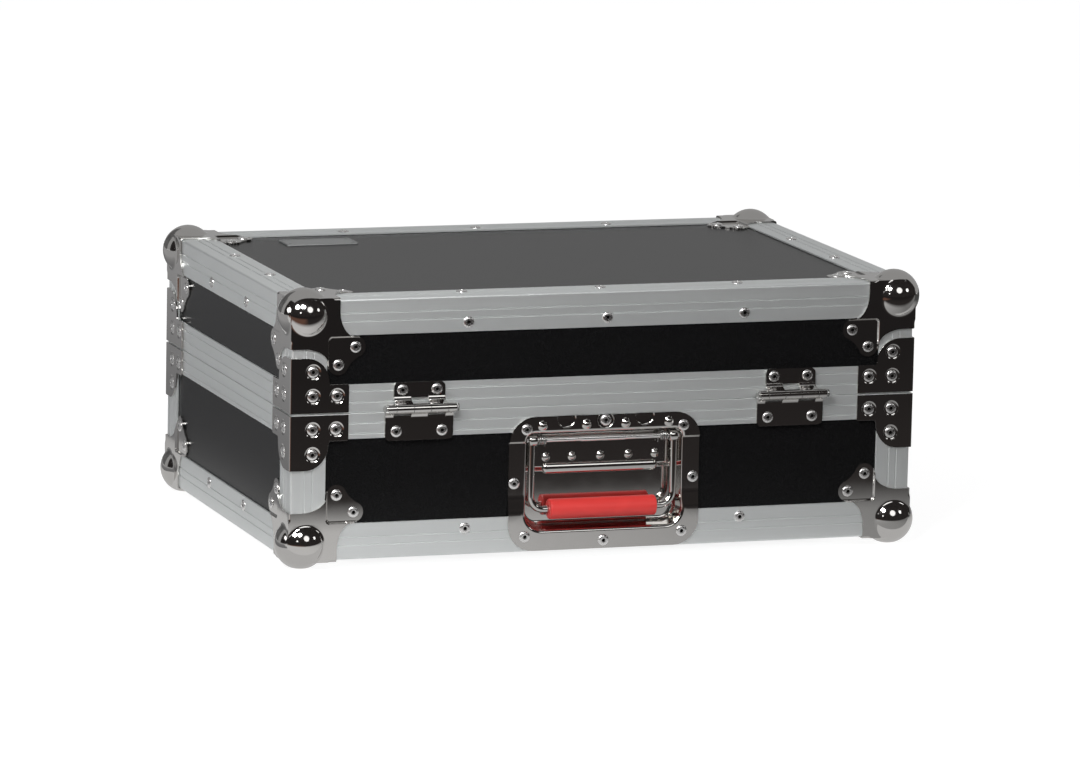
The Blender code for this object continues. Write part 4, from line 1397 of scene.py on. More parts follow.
@dataclass
class BallCorners:
    """Pressed steel ball corners: a dome, three plates with two riveted lobes each."""

    radius: float = 0.0215
    centre: float = 0.013
    leg: float = 0.040
    leg_straight: float = 0.009
    lobe_reach: float = 0.054
    lobe_height: float = 0.0395
    lobe_radius: float = 0.0085
    saddle: float = 0.0515
    lobe_start: float = -70
    lobe_end: float = 75
    step_start: float = 0.0303
    step_end: float = 0.0318
    step_round: float = 0.0036
    fillet: float = 0.0040
    disc: float = 0.0240
    edge_round: float = 0.0020
    edge_bevel: float = 0.00025
    fold_back: float = 0.005
    fold_run: float = 0.0025
    fan_steps: int = 28
    tip_near: float = 21.0
    tip_far: float = 40.0

    def half_outline(self) -> Outline:
        """Half of a plate's outline, on the side of the diagonal where x is larger.

        Returns:
            The outline.
        """
        rise = self.lobe_height - self.lobe_radius - self.leg_straight
        sweep = arc((self.lobe_reach, self.leg_straight), (self.lobe_reach - self.leg, rise),
                    180, 90, 12)
        lobe = arc((self.lobe_reach, self.lobe_height), self.lobe_radius,
                   self.lobe_start, self.lobe_end, 16)
        return [(self.leg, -self.leg / 2)] + sweep + lobe + [(self.saddle, self.saddle)]

    def profile(self) -> Outline:
        """The pressed dome: (radius about its axis, height), out to the flat plate.

        Returns:
            The profile.
        """
        level = -CASE.plate
        rise = self.centre - level + self.fillet
        total = self.radius + self.fillet
        reach = math.sqrt(total ** 2 - rise ** 2)
        tilt = math.degrees(math.asin(reach / total))
        cap = arc((0, 0), self.radius, 0, tilt, 14)
        dome = [(b, self.centre - a) for a, b in cap]
        flank = arc((0, 0), self.fillet, tilt, 0, 5)
        skirt = [(reach - b, level - self.fillet + a) for a, b in flank]
        outer = [(reach + (self.disc - reach) * share, level) for share in (0.4, 1.0)]
        return dome + skirt[1:] + outer

    def height(self, x: float, y: float, z: float) -> float:
        """Height of the dome's skirt, which turns into the bare ball towards the corner.

        Args:
            x, y, z: a place on the skirt.

        Returns:
            Its height.
        """
        dx, dy = x - self.centre, y - self.centre
        reach = math.hypot(dx, dy)
        if reach < WELD:
            return z
        away = abs(math.degrees(math.atan2(dy, dx)) + 135)
        share = 1 - smooth_step((away - self.tip_near) / (self.tip_far - self.tip_near))
        ball = self.centre - math.sqrt(max(self.radius ** 2 - reach ** 2, 0.0))
        return z + (max(ball, z) - z) * share

    def sixth(self) -> Mesh:
        """Half of the plate on z = 0, from the diagonal to the edge of the case.

        Returns:
            Its mesh.
        """
        form = Form()
        profile = self.profile()
        along = Vector((-1, -1, 0)).normalized()
        middle = Vector((self.centre, self.centre, 0))
        points = [middle + along * r + Vector((0, 0, z)) for r, z in profile]
        verts = [form.bm.verts.new(p) for p in points]
        edges = [form.bm.edges.new(pair) for pair in zip(verts, verts[1:])]
        bmesh.ops.spin(form.bm, geom=verts + edges, cent=middle, axis=(0, 0, 1),
                       angle=math.pi, steps=self.fan_steps)
        for vert in form.bm.verts:
            vert.co.z = self.height(*vert.co)
        rim = [middle + Matrix.Rotation(math.pi * i / self.fan_steps, 3, "Z") @ (along * self.disc)
               for i in range(self.fan_steps + 1)]
        flat = [(p.x, p.y, -CASE.plate) for p in rim]
        outside = [(x, y, -CASE.plate) for x, y in reversed(self.half_outline())]
        corner = (-self.leg / 2, -self.leg / 2, -CASE.plate)
        face = form.face(flat + outside + [corner])
        bmesh.ops.triangulate(form.bm, faces=[face])
        form.merge()
        form.cut((0, 0, 0), (0, -1, 1), clear=True)
        for i in range(1, 6):
            form.cut((0, -CASE.plate + self.edge_round * i / 5, 0), (0, 1, 0))
        for i in range(5):
            at = self.centre + self.disc - self.fold_back + self.fold_run * i / 2
            form.cut((at, 0, 0), (1, 0, 0))
        for vert in form.bm.verts:
            self.fold(vert)
        run = self.step_end - self.step_start
        for i in range(9):
            at = self.step_start + self.step_round * i / 8
            form.cut((0, at, 0), (0, 1, 0))
            form.cut((at, 0, 0), (1, 0, 0))
        for vert in form.bm.verts:
            vert.co.z += CASE.inset * smooth_step(self.past_step(vert.co.x, vert.co.y) / run)
        return form.mesh("corner_sixth")

    def past_step(self, x: float, y: float) -> float:
        """How far a place lies beyond the edge of the step, whose corner is round.

        Args:
            x, y: the place.

        Returns:
            The distance.
        """
        inside = [self.step_round - (along - self.step_start) for along in (x, y)]
        if min(inside) > 0:
            return self.step_round - math.hypot(*inside)
        return min(x, y) - self.step_start

    def fold(self, vert: BMVert) -> None:
        """Bring a vertex beside the arris onto the round fold between two plates.

        Args:
            vert: the vertex.
        """
        r, level = self.edge_round, -CASE.plate
        across = vert.co.y - level
        if across > r - WELD or abs(vert.co.z - level) > WELD:
            return
        reach = math.hypot(vert.co.x - self.centre, vert.co.y - self.centre)
        share = smooth_step((reach - self.disc) / self.fold_run)
        turn = (1 - across / r) * math.pi / 4
        vert.co.y += (level + r - r * math.sin(turn) - vert.co.y) * share
        vert.co.z += (level + r - r * math.cos(turn) - vert.co.z) * share

    def shape(self) -> Mesh:
        """One ball corner, in its corner's frame.

        Returns:
            Its mesh.
        """
        sixth = self.sixth()
        form = Form()
        for turn in THIRDS:
            form.add(sixth, turn)
            form.add(sixth, turn @ MIRROR)
        return pressed(form, 2, self.edge_bevel, 10 * WELD)

    def rivet(self, half: Half, world: Matrix) -> None:
        """Two rivets in the lobes of each of the three plates.

        Args:
            half: the base or the lid.
            world: the frame of its place in the world.
        """
        near, far = self.lobe_height, self.lobe_reach
        for turn in THIRDS:
            RIVETS.add(half.name, f"{half.name}_corner_rivets", world @ turn,
                       [(near, far), (far, near)], CASE.inset - CASE.plate)

    def build(self) -> None:
        """A ball corner at each corner of each half."""
        shape = self.shape()
        for half in HALVES:
            for world, label in map(half.corner, range(4)):
                deliver(placed(shape, world), f"{half.name}_pressed_corner_{label}", Chrome(),
                        half.name, [f"{half.name}_ball_corner_{label}"], smooth=38.0)
                self.rivet(half, world)


@dataclass
class CornerBraces:
    """L-shaped plates round the corners at the joint, dimpled for their rivets."""

    arm: float = 0.0484
    length: float = 0.0455
    leg: float = 0.0315
    tip: float = 0.012
    shoulder: float = 0.0025
    joint_gap: float = 0.0009
    dimple: float = 0.0066
    dimple_depth: float = 0.0007
    arm_round: float = 0.0016
    notch: float = 0.001
    edge_round: float = 0.0021
    edge_bevel: float = 0.00045
    base_rivets: tuple[Flat, ...] = ((0.0179, 0.0127), (0.0378, 0.0127), (0.0180, 0.0332))
    lid_rivets: tuple[Flat, ...] = ((0.0178, 0.0148), (0.0384, 0.0148), (0.0178, 0.0350))

    def spots(self, half: Half) -> list[Flat]:
        """Where the rivets of an arm are: (along the side, height)."""
        rivets = self.base_rivets if half.tongue else self.lid_rivets
        return [(x, half.height - below) for x, below in rivets]

    def outline(self, half: Half) -> Outline:
        """One arm of the brace: (along the side, height).

        Args:
            half: the base or the lid.

        Returns:
            The outline.
        """
        top = half.height - self.joint_gap
        shoulder = top - half.rim - self.shoulder
        tip = top - self.length
        curve = arc((self.tip, shoulder), (self.leg - self.tip, shoulder - tip), 0, -90, 14)
        r, foot = self.arm_round, top - half.rim
        corner = arc((self.arm - r, foot + r), r, 0, -90, 4)
        return [(-CASE.plate, top), (self.arm, top)] + corner + [(self.leg + self.notch, foot)] \
            + curve + [(-CASE.plate, tip)]

    def shape(self, half: Half) -> Mesh:
        """One brace, in its corner's frame.

        Args:
            half: the base or the lid.

        Returns:
            Its mesh.
        """
        outline = self.outline(half)
        first = Form().prism(outline, "Y", -CASE.plate, -CASE.gap).mesh("arm")
        second = Form().prism(outline, "X", -CASE.plate, -CASE.gap).mesh("arm")
        brace = carved(first, ("UNION", second))
        arris = -CASE.plate
        form = Form(brace).merge()
        form.bevel(self.edge_round, 4, 60.0,
                   lambda p: abs(p.x - arris) + abs(p.y - arris) < CASE.gap)
        form.bevel(self.edge_bevel, 3, 60.0)
        tools = Form()
        tool = dimple(self.dimple, self.dimple_depth)
        for x, z in self.spots(half):
            at = standing(x, -CASE.plate, z)
            tools.add(tool, at)
            tools.add(tool, MIRROR @ at)
        return carved(form.mesh("brace"), ("DIFFERENCE", tools.mesh("dimples")))

    def build(self) -> None:
        """A brace at each corner of each half."""
        for half in HALVES:
            shape = self.shape(half)
            for world, label in map(half.corner, range(4)):
                deliver(placed(shape, world), f"{half.name}_corner_brace_{label}", Chrome(),
                        half.name, [f"{half.name}_brace_{label}"])
                for place in (world, world @ MIRROR):
                    RIVETS.add(half.name, f"{half.name}_brace_rivets", place, self.spots(half),
                               self.dimple_depth - CASE.plate)


# Hinges and handle

@dataclass
class StopHinges:
    """Hinges whose leaves are strips rolled round a pin that stands out from the case."""

    from_edge: float = 0.1085
    sheet: float = 0.0018
    pin_out: float = 0.008
    pin_rise: float = 0.0035
    pin_radius: float = 0.0021
    pin_head: float = 0.00325
    pin_head_thickness: float = 0.001
    roll: float = 0.0040
    bend: float = 0.0042
    lid_tangent: float = 112
    base_tangent: float = -104
    roll_sweep: float = 282
    lid_half: float = 0.0220
    lid_low: float = 0.0115
    lid_high: float = 0.0243
    base_half: float = 0.02915
    base_low: float = -0.0238
    base_high: float = -0.0033
    corner: float = 0.0045
    middle: float = 0.0141
    lid_knuckle: float = 0.0144
    end_knuckle: float = 0.0085
    clearance: float = 0.0004
    edge_bevel: float = 0.0004
    pin_chamfer: float = 0.0005
    lid_rivets: tuple[Flat, ...] = ((-0.0147, 0.0180), (0.0147, 0.0180))
    base_rivets: tuple[Flat, ...] = ((-0.0196, -0.0162), (0.0196, -0.0162))

    def spans(self, lid: bool) -> list[Flat]:
        """Where the knuckles of a leaf lie along the pin.

        Args:
            lid: whether it is the lid's leaf.

        Returns:
            Both ends of each.
        """
        inner = self.middle / 2
        start = inner + self.clearance
        end = start + self.lid_knuckle
        if lid:
            return [(-end, -start), (start, end)]
        last = end + self.clearance
        return [(-last - self.end_knuckle, -last), (-inner, inner), (last, last + self.end_knuckle)]

    def rolled(self, lid: bool) -> Outline:
        """Outline of the strip: up the case, out to the pin and round it.

        Args:
            lid: whether it is the lid's leaf.

        Returns:
            The outline.
        """
        turn = 1 if lid else -1
        angle = math.radians(self.lid_tangent if lid else self.base_tangent)
        radius = self.roll - self.sheet / 2
        touch = Vector((-self.pin_out + radius * math.cos(angle),
                        self.pin_rise + radius * math.sin(angle)))
        back = Vector((math.sin(angle), -math.cos(angle))) * turn
        level = -CASE.gap - self.sheet / 2
        knee = touch + back * ((level - touch.x) / back.x)
        end = Vector((level, self.lid_high - self.corner if lid else self.base_low + self.corner))
        up = (end - knee).normalized()
        path = [tuple(end)]
        for i in range(7):
            t = i / 6
            first, last = knee + up * self.bend, knee - back * self.bend
            spot = first * (1 - t) ** 2 + knee * 2 * t * (1 - t) + last * t ** 2
            path.append(tuple(spot))
        start = math.degrees(angle)
        finish = start + turn * self.roll_sweep
        path += arc((-self.pin_out, self.pin_rise), radius, start, finish, 26)
        return strip(path, self.sheet)

    def leaf(self, lid: bool) -> Mesh:
        """One leaf with its knuckles.

        Args:
            lid: whether it is the lid's leaf.

        Returns:
            Its mesh.
        """
        up, half, near, far = (1, self.lid_half, self.lid_low, self.lid_high) if lid else (
            -1, self.base_half, -self.base_high, -self.base_low)
        r = self.corner
        corners = arc((half - r, far - r), r, 0, 90, 8) + arc((r - half, far - r), r, 90, 180, 8)
        outline = [(up * x, up * z) for x, z in [(half, near), *corners, (-half, near)]]
        plate = Form().prism(outline, "Y", -CASE.gap - self.sheet, -CASE.gap).mesh("leaf")
        arms = [("UNION", Form().prism(self.rolled(lid), "X", max(low, -half), min(high, half))
                 .mesh("arm")) for low, high in self.spans(lid)]
        return Form(carved(plate, *arms)).merge().bevel(self.edge_bevel, 2, 50.0).mesh("leaf")

    def pin(self) -> Mesh:
        """The pin, with a low head at each end.

        Returns:
            Its mesh.
        """
        end = self.spans(False)[2][1] + CASE.gap
        head, wide, c = end + self.pin_head_thickness, self.pin_head, self.pin_chamfer
        half = [(head, 0.55 * wide), (head - 0.4 * c, 0.85 * wide), (head - c, wide),
                (end, wide), (end, self.pin_radius)]
        pin = Form().turned(both_ways(half), "X", (-self.pin_out, self.pin_rise), 20)
        return pin.merge().mesh("pin")

    def build(self) -> None:
        """Both hinges."""
        base_leaf, lid_leaf, pin = self.leaf(False), self.leaf(True), self.pin()
        spacing = CASE.width / 2 - self.from_edge
        for label, sign in (("left", -1), ("right", 1)):
            world = Matrix.Translation((sign * spacing, CASE.centre_y - CASE.depth / 2, CASE.seam))
            for part, mesh, finish, body, slot in (
                    ("base_leaf", base_leaf, Chrome(), "base", "chrome"),
                    ("lid_leaf", lid_leaf, Chrome(), "lid", "chrome"),
                    ("pin", pin, PlatedSteel(), "base", "steel")):
                deliver(placed(mesh, world), f"hinge_{label}_rolled_{part}", finish, body,
                        [f"hinge_{label}_{part}"])
            for body, spots in (("lid", self.lid_rivets), ("base", self.base_rivets)):
                RIVETS.add(body, f"{body}_hinge_rivets", world, spots, -CASE.gap - self.sheet)


@dataclass(frozen=True)
class PressedPan:
    """A pressed dish: a flange, a rounded lip, drafted walls and a rounded floor.

    Attributes:
        outer: left, right, low, high, lower and upper corner radius of the flange.
        opening: the same of the pan.
        depth: of the pan's floor.
        drops: (from, to) heights over which the flange drops to the panel.
        lip: radius of the pan's lip.
        fillet: radius round its floor.
        draft: how much its walls lean in.
        least_round: the least radius of a corner.
        edge_bevel: of the sheet's edges.
        steps: faces round a corner, and along a drop.
    """

    outer: tuple[float, ...]
    opening: tuple[float, ...]
    depth: float
    drops: tuple[Flat, ...]
    lip: float = 0.0030
    fillet: float = 0.0035
    draft: float = 0.0015
    least_round: float = 0.0006
    edge_bevel: float = 0.0003
    steps: int = 8

    def loop(self, shape: tuple[float, ...], grow: float, depth: float) -> list[Sequence[float]]:
        """Points round a rounded rectangle that is grown outwards.

        Args:
            shape: its sides, then its two radii.
            grow: how far outwards.
            depth: of the points.

        Returns:
            The points.
        """
        left, right, low, high, radius, top_radius = shape
        least = self.least_round
        outline = rounded_rectangle(left - grow, right + grow, low - grow, high + grow,
                                    max(radius + grow, least), max(top_radius + grow, least),
                                    self.steps)
        return [(x, depth, z) for x, z in outline]

    def drop(self, z: float) -> float:
        """How far the flange has dropped at a height, from 0 to 1."""
        shares = [smooth_step((z - high) / (low - high)) for high, low in self.drops]
        return min(shares) if shares else 0.0

    def sheet(self, ledge: Place = (0, 0, 0),
              open_at: float = 0.0) -> Mesh:
        """The pressing, with its thickness.

        Args:
            ledge: depth, height and run of a shallower upper part of the floor.
            open_at: height above which it is cut away, if not 0.

        Returns:
            Its mesh.
        """
        level = -CASE.plate
        quarter = [math.pi / 2 * i / 5 for i in range(6)]
        loops = [self.loop(self.outer, 0, level)]
        loops += [self.loop(self.opening, self.lip * (1 - math.sin(a)),
                            level + self.lip * (1 - math.cos(a))) for a in quarter]
        loops += [self.loop(self.opening, -self.draft - self.fillet * (1 - math.cos(a)),
                            self.depth - self.fillet * (1 - math.sin(a))) for a in quarter]
        form = Form().loft(loops)
        for high, low in self.drops:
            for i in range(self.steps + 1):
                form.cut((0, 0, high + (low - high) * i / self.steps), (0, 0, 1))
        for vert in form.bm.verts:
            share = 1 - (vert.co.y - level) / self.lip
            vert.co.y += CASE.inset * self.drop(vert.co.z) * max(0.0, min(1.0, share))
        ledge_depth, ledge_z, run = ledge
        if run:
            for i in range(self.steps + 1):
                form.cut((0, 0, ledge_z + run * i / self.steps), (0, 0, 1))
            for vert in form.bm.verts:
                above = smooth_step((vert.co.z - ledge_z) / run)
                vert.co.y = min(vert.co.y, self.depth + (ledge_depth - self.depth) * above)
        if open_at:
            form.cut((0, 0, open_at), (0, 0, 1), clear=True)
        return pressed(form, 1, self.edge_bevel)


@dataclass
class RecessedHandle:
    """Sprung handle in a pressed dish, at the middle of the hinge side."""

    dish_finish: Chrome = Chrome(roughness=0.09)
    rod_finish: Chrome = Chrome((0.95, 0.94, 0.93), 0.22)
    half_width: float = 0.083
    bottom: float = 0.0006
    top: float = 0.1128
    corner: float = 0.022
    recess_half: float = 0.068
    recess_bottom: float = 0.018
    recess_top: float = 0.0985
    recess_corner: float = 0.014
    recess_top_corner: float = 0.007
    depth: float = 0.015
    ledge_depth: float = 0.0115
    ledge_height: float = 0.0640
    ledge_run: float = 0.005
    upper_drop: Flat = (0.0924, 0.0908)
    lower_drop: Flat = (0.0300, 0.0480)
    pivot_height: float = 0.0922
    pivot_depth: float = 0.005
    rod: float = 0.002
    rod_thick: float = 0.0024
    rod_thick_half: float = 0.0185
    rod_step: float = 0.0015
    arm_at: float = 0.062
    arm: float = 0.003
    arm_start: Flat = (-0.001, -0.01)
    bend: float = 0.011
    eye_near: float = 0.0575
    eye_far: float = 0.065
    eye: float = 0.0048
    eye_bore: float = 0.0023
    eye_round: float = 0.0012
    grip_height: float = 0.034
    grip: float = 0.0085
    grip_half: float = 0.0463
    grip_chamfer: float = 0.0012
    spring_at: float = 0.0529
    spring: float = 0.0033
    spring_wire: float = 0.0006
    spring_pitch: float = 0.0017
    spring_turns: int = 4
    spring_leg: float = 0.006
    proud_rivets: tuple[Flat, ...] = ((-0.0683, 0.1024), (0.0, 0.1081), (0.0683, 0.1015),
                                      (-0.0687, 0.0129), (0.0, 0.0074), (0.0683, 0.0125))
    sunk_rivets: tuple[Flat, ...] = ((-0.0781, 0.0575), (0.0778, 0.0575))
    band_domes: tuple[float, ...] = (-0.0547, -0.0167, 0.0175, 0.0552)
    band_dome_height: float = 0.1050
    tabs: tuple[float, ...] = (-0.0342, 0.0340)
    tab_height: float = 0.1108
    tab: float = 0.0083
    tab_depth: float = 0.0009
    tab_floor: float = 0.84
    scallop: float = 0.0074
    band_dome: Flat = (0.0037, 0.0021)
    floor_dome: Flat = (0.0031, 0.0017)
    floor_domes: tuple[float, ...] = (-0.0472, -0.0245, 0.0002, 0.0248, 0.0480)
    floor_dome_height: float = 0.0764
    rib_half: float = 0.0505
    rib: float = 0.0046
    rib_share: float = 0.62
    rib_out: float = 0.0004
    rib_height: float = 0.0670

    def shaped_dish(self) -> Mesh:
        """The dish with its domes, dimples and rib.

        Returns:
            Its mesh.
        """
        pan = PressedPan(
            (-self.half_width, self.half_width, self.bottom, self.top, self.corner, self.corner),
            (-self.recess_half, self.recess_half, self.recess_bottom, self.recess_top,
             self.recess_corner, self.recess_top_corner),
            self.depth, (self.upper_drop, self.lower_drop))
        dish = pan.sheet((self.ledge_depth, self.ledge_height, self.ledge_run))
        tools = Form()
        hollow = dimple(self.tab, self.tab_depth, self.tab_floor)
        scallop = dimple(self.scallop, self.tab_depth, self.tab_floor)
        for x in self.tabs:
            tools.add(hollow, standing(x, -CASE.plate, self.tab_height))
        x, z = self.proud_rivets[1]
        tools.add(scallop, standing(x, -CASE.plate, z))
        form = Form(carved(dish, ("DIFFERENCE", tools.mesh("hollows"))))
        for size, places, depth, z in (
                (self.band_dome, self.band_domes, -CASE.plate, self.band_dome_height),
                (self.floor_dome, self.floor_domes, self.ledge_depth, self.floor_dome_height)):
            dome = bump(*size)
            for x in places:
                form.add(dome, standing(x, depth, z))
        profile = arc((0, 0), (self.rib_share * self.rib, self.rib), 176, 4, 14)
        rib = Form().turned(profile, "Z", segments=26).merge().mesh("rib")
        for vert in rib.vertices:
            vert.co.x += math.copysign(self.rib_half - self.rib, vert.co.x)
        form.add(rib, standing(0, self.ledge_depth + self.rib_out, self.rib_height))
        return form.mesh("dish")

    def bail(self) -> Mesh:
        """Wire bail with an eye round the pivot rod at each end.

        Returns:
            Its mesh.
        """
        low = self.grip_height - self.pivot_height
        x, r = self.arm_at, self.bend
        right = [(x, z) for z in self.arm_start] + arc((x - r, low + r), r, 0, -90, 12)
        path = [(px, 0, pz) for px, pz in right] + [(-px, 0, pz) for px, pz in reversed(right)]
        form = Form().tube(path, self.arm, 16)
        eye, edge, end = self.eye, self.eye_round, (self.eye_far - self.eye_near) / 2
        half = [(end, self.eye_bore), (end, eye - edge), (end - 0.4 * edge, eye - 0.4 * edge),
                (end - edge, eye)]
        for sign in (-1, 1):
            middle = sign * (self.eye_near + end)
            ring = [(middle + along, r) for along, r in both_ways(half)]
            form.turned(ring, "X", segments=28, hollow=True)
        return form.merge().mesh("bail")

    def grip_mesh(self) -> Mesh:
        """Moulded grip round the bail's bar.

        Returns:
            Its mesh.
        """
        half, c, bore = self.grip_half, self.grip_chamfer, self.arm + CASE.gap
        outer = [(half, bore), (half, self.grip - c), (half - 0.3 * c, self.grip - 0.3 * c),
                 (half - c, self.grip)]
        at = (0, self.grip_height - self.pivot_height)
        return Form().turned(both_ways(outer), "X", at, 40, hollow=True).merge().mesh("grip")

    def spring_mesh(self, sign: int) -> Mesh:
        """Return spring: coils round the rod and a leg at each end.

        Args:
            sign: -1 for the left one, 1 for the right.

        Returns:
            Its mesh.
        """
        points = []
        per_turn = 16
        for i in range(self.spring_turns * per_turn + 1):
            turns = i / per_turn
            x = sign * (self.spring_at + self.spring_pitch * (turns - self.spring_turns / 2))
            points.append(Vector((x, self.spring * math.cos(math.tau * turns),
                                  self.spring * math.sin(math.tau * turns))))
        leg = Vector((0, 0, -self.spring_leg))
        return Form().tube([points[0] + leg] + points + [points[-1] + leg], self.spring_wire, 8) \
            .mesh("spring")

    def build(self) -> None:
        """The whole handle."""
        world = BASE.world @ Side.FRONT.frame
        pivot = world @ Matrix.Translation((0, self.pivot_depth, self.pivot_height))
        thick, step = self.rod_thick_half, self.rod_step
        half = [(self.recess_half - CASE.gap - step, self.rod), (thick + step, self.rod),
                (thick, self.rod_thick)]
        rod = Form().turned(both_ways(half), "X", segments=20).merge().mesh("rod")
        for mesh, place, name, node, finish, body, slot in (
                (self.shaped_dish(), world, "pressed_dish", "dish", self.dish_finish, "base",
                 "chrome"),
                (rod, pivot, "turned_rod", "pivot_rod", self.rod_finish, "base", "chrome"),
                (self.bail(), pivot, "wire_bail", "bail", Chrome(), "handle", "chrome"),
                (self.grip_mesh(), pivot, "moulded_grip", "grip", RedGrip(), "handle", "rubber"),
                (self.spring_mesh(-1), pivot, "coil_left", "spring_left", PlatedSteel(), "base",
                 "steel"),
                (self.spring_mesh(1), pivot, "coil_right", "spring_right", PlatedSteel(), "base",
                 "steel")):
            mesh.transform(place)
            deliver(mesh, f"handle_{name}", finish, body, [f"handle_{node}"], smooth=50.0)
        for spots, level in ((self.proud_rivets, -CASE.plate),
                             (self.sunk_rivets, CASE.inset - CASE.plate)):
            RIVETS.add("base", "base_handle_rivets", world, spots, level)


# Latches and lining

@dataclass
class TwistLatches:
    """Two recessed twist latches on the side away from the hinges."""

    spacing: float = 0.140
    half_width: float = 0.039
    corner: float = 0.010
    height: float = 0.058
    keeper_height: float = 0.0232
    opening_half: float = 0.027
    opening: float = 0.048
    keeper_opening: float = 0.016
    opening_corner: float = 0.006
    depth: float = 0.0095
    pan_lip: float = 0.0018
    pan_fillet: float = 0.0015
    drop: Flat = (-0.0221, -0.0262)
    lip_half: float = 0.011
    lip_rise: float = 0.003
    lip_thickness: float = 0.0015
    lip_front: float = 0.0073
    lip_bevel: float = 0.0003
    cut_round: float = 0.0002
    dish_rivets: tuple[Flat, ...] = ((-0.0330, -0.0130), (0.0330, -0.0130))
    sunk_rivets: tuple[Flat, ...] = ((-0.0330, -0.0500), (0.0330, -0.0500))
    keeper_rivets: tuple[Flat, ...] = ((-0.0330, -0.0125), (0.0330, -0.0125))

    def pressing(self, height: float, opening: float, drops: tuple[Flat, ...]) -> Mesh:
        """The dish or the keeper, cut off at the joint.

        Args:
            height: from the joint to its end.
            opening: the same of its pan.
            drops: (from, to) heights over which it drops to the panel.

        Returns:
            Its mesh.
        """
        over = 2 * self.half_width
        pan = PressedPan(
            (-self.half_width, self.half_width, -height, over, self.corner, self.corner),
            (-self.opening_half, self.opening_half, -opening, over - self.corner,
             self.opening_corner, self.opening_corner),
            self.depth, drops, lip=self.pan_lip, fillet=self.pan_fillet)
        return pan.sheet(open_at=-CASE.gap / 2)

    def keeper(self) -> Mesh:
        """The lid's part of the latch, with the lip that the hook draws down.

        Returns:
            Its mesh.
        """
        lip = Form().prism([(-self.lip_half, self.lip_front), (self.lip_half, self.lip_front),
                            (self.lip_half, self.depth + CASE.sheet / 2),
                            (-self.lip_half, self.depth + CASE.sheet / 2)],
                           "Z", -self.lip_rise - self.lip_thickness, -self.lip_rise)
        plate = lip.bevel(self.lip_bevel, 2).mesh("lip")
        return carved(self.pressing(self.keeper_height, self.keeper_opening, ()), ("UNION", plate))

    def build(self) -> None:
        """Both latches."""
        dish = self.pressing(self.height, self.opening, (self.drop,))
        keeper = self.keeper()
        flip = Matrix.Rotation(math.pi, 4, "Y")
        back = Matrix.Translation((0, CASE.centre_y + CASE.depth / 2, CASE.seam)) \
            @ Matrix.Rotation(math.pi, 4, "Z")
        for label, sign in (("left", 1), ("right", -1)):
            world = back @ Matrix.Translation((sign * self.spacing, 0, 0))
            name = f"latch_{label}"
            for mesh, place, part, body in ((dish, world, "dish", "base"),
                                            (keeper, world @ flip, "keeper", "lid")):
                deliver(placed(mesh, place), f"{name}_pressed_{part}", Chrome(), body,
                        [f"{name}_{part}"])
            for part, finish, slot in (("spindle", PlatedSteel(), "steel"),
                                       ("wing", Chrome(), "chrome"),
                                       ("hook", PlatedSteel(), "steel")):
                deliver(refined(f"{name}_{part}", self.cut_round), f"{name}_cut_{part}", finish,
                        f"{name}_{part}", [f"{name}_{part}"])
            for body, place, spots, level in (
                    ("base", world, self.dish_rivets, -CASE.plate),
                    ("base", world, self.sunk_rivets, CASE.inset - CASE.plate),
                    ("lid", world @ flip, self.keeper_rivets, -CASE.plate)):
                RIVETS.add(body, f"{body}_latch_rivets", place, spots, level)


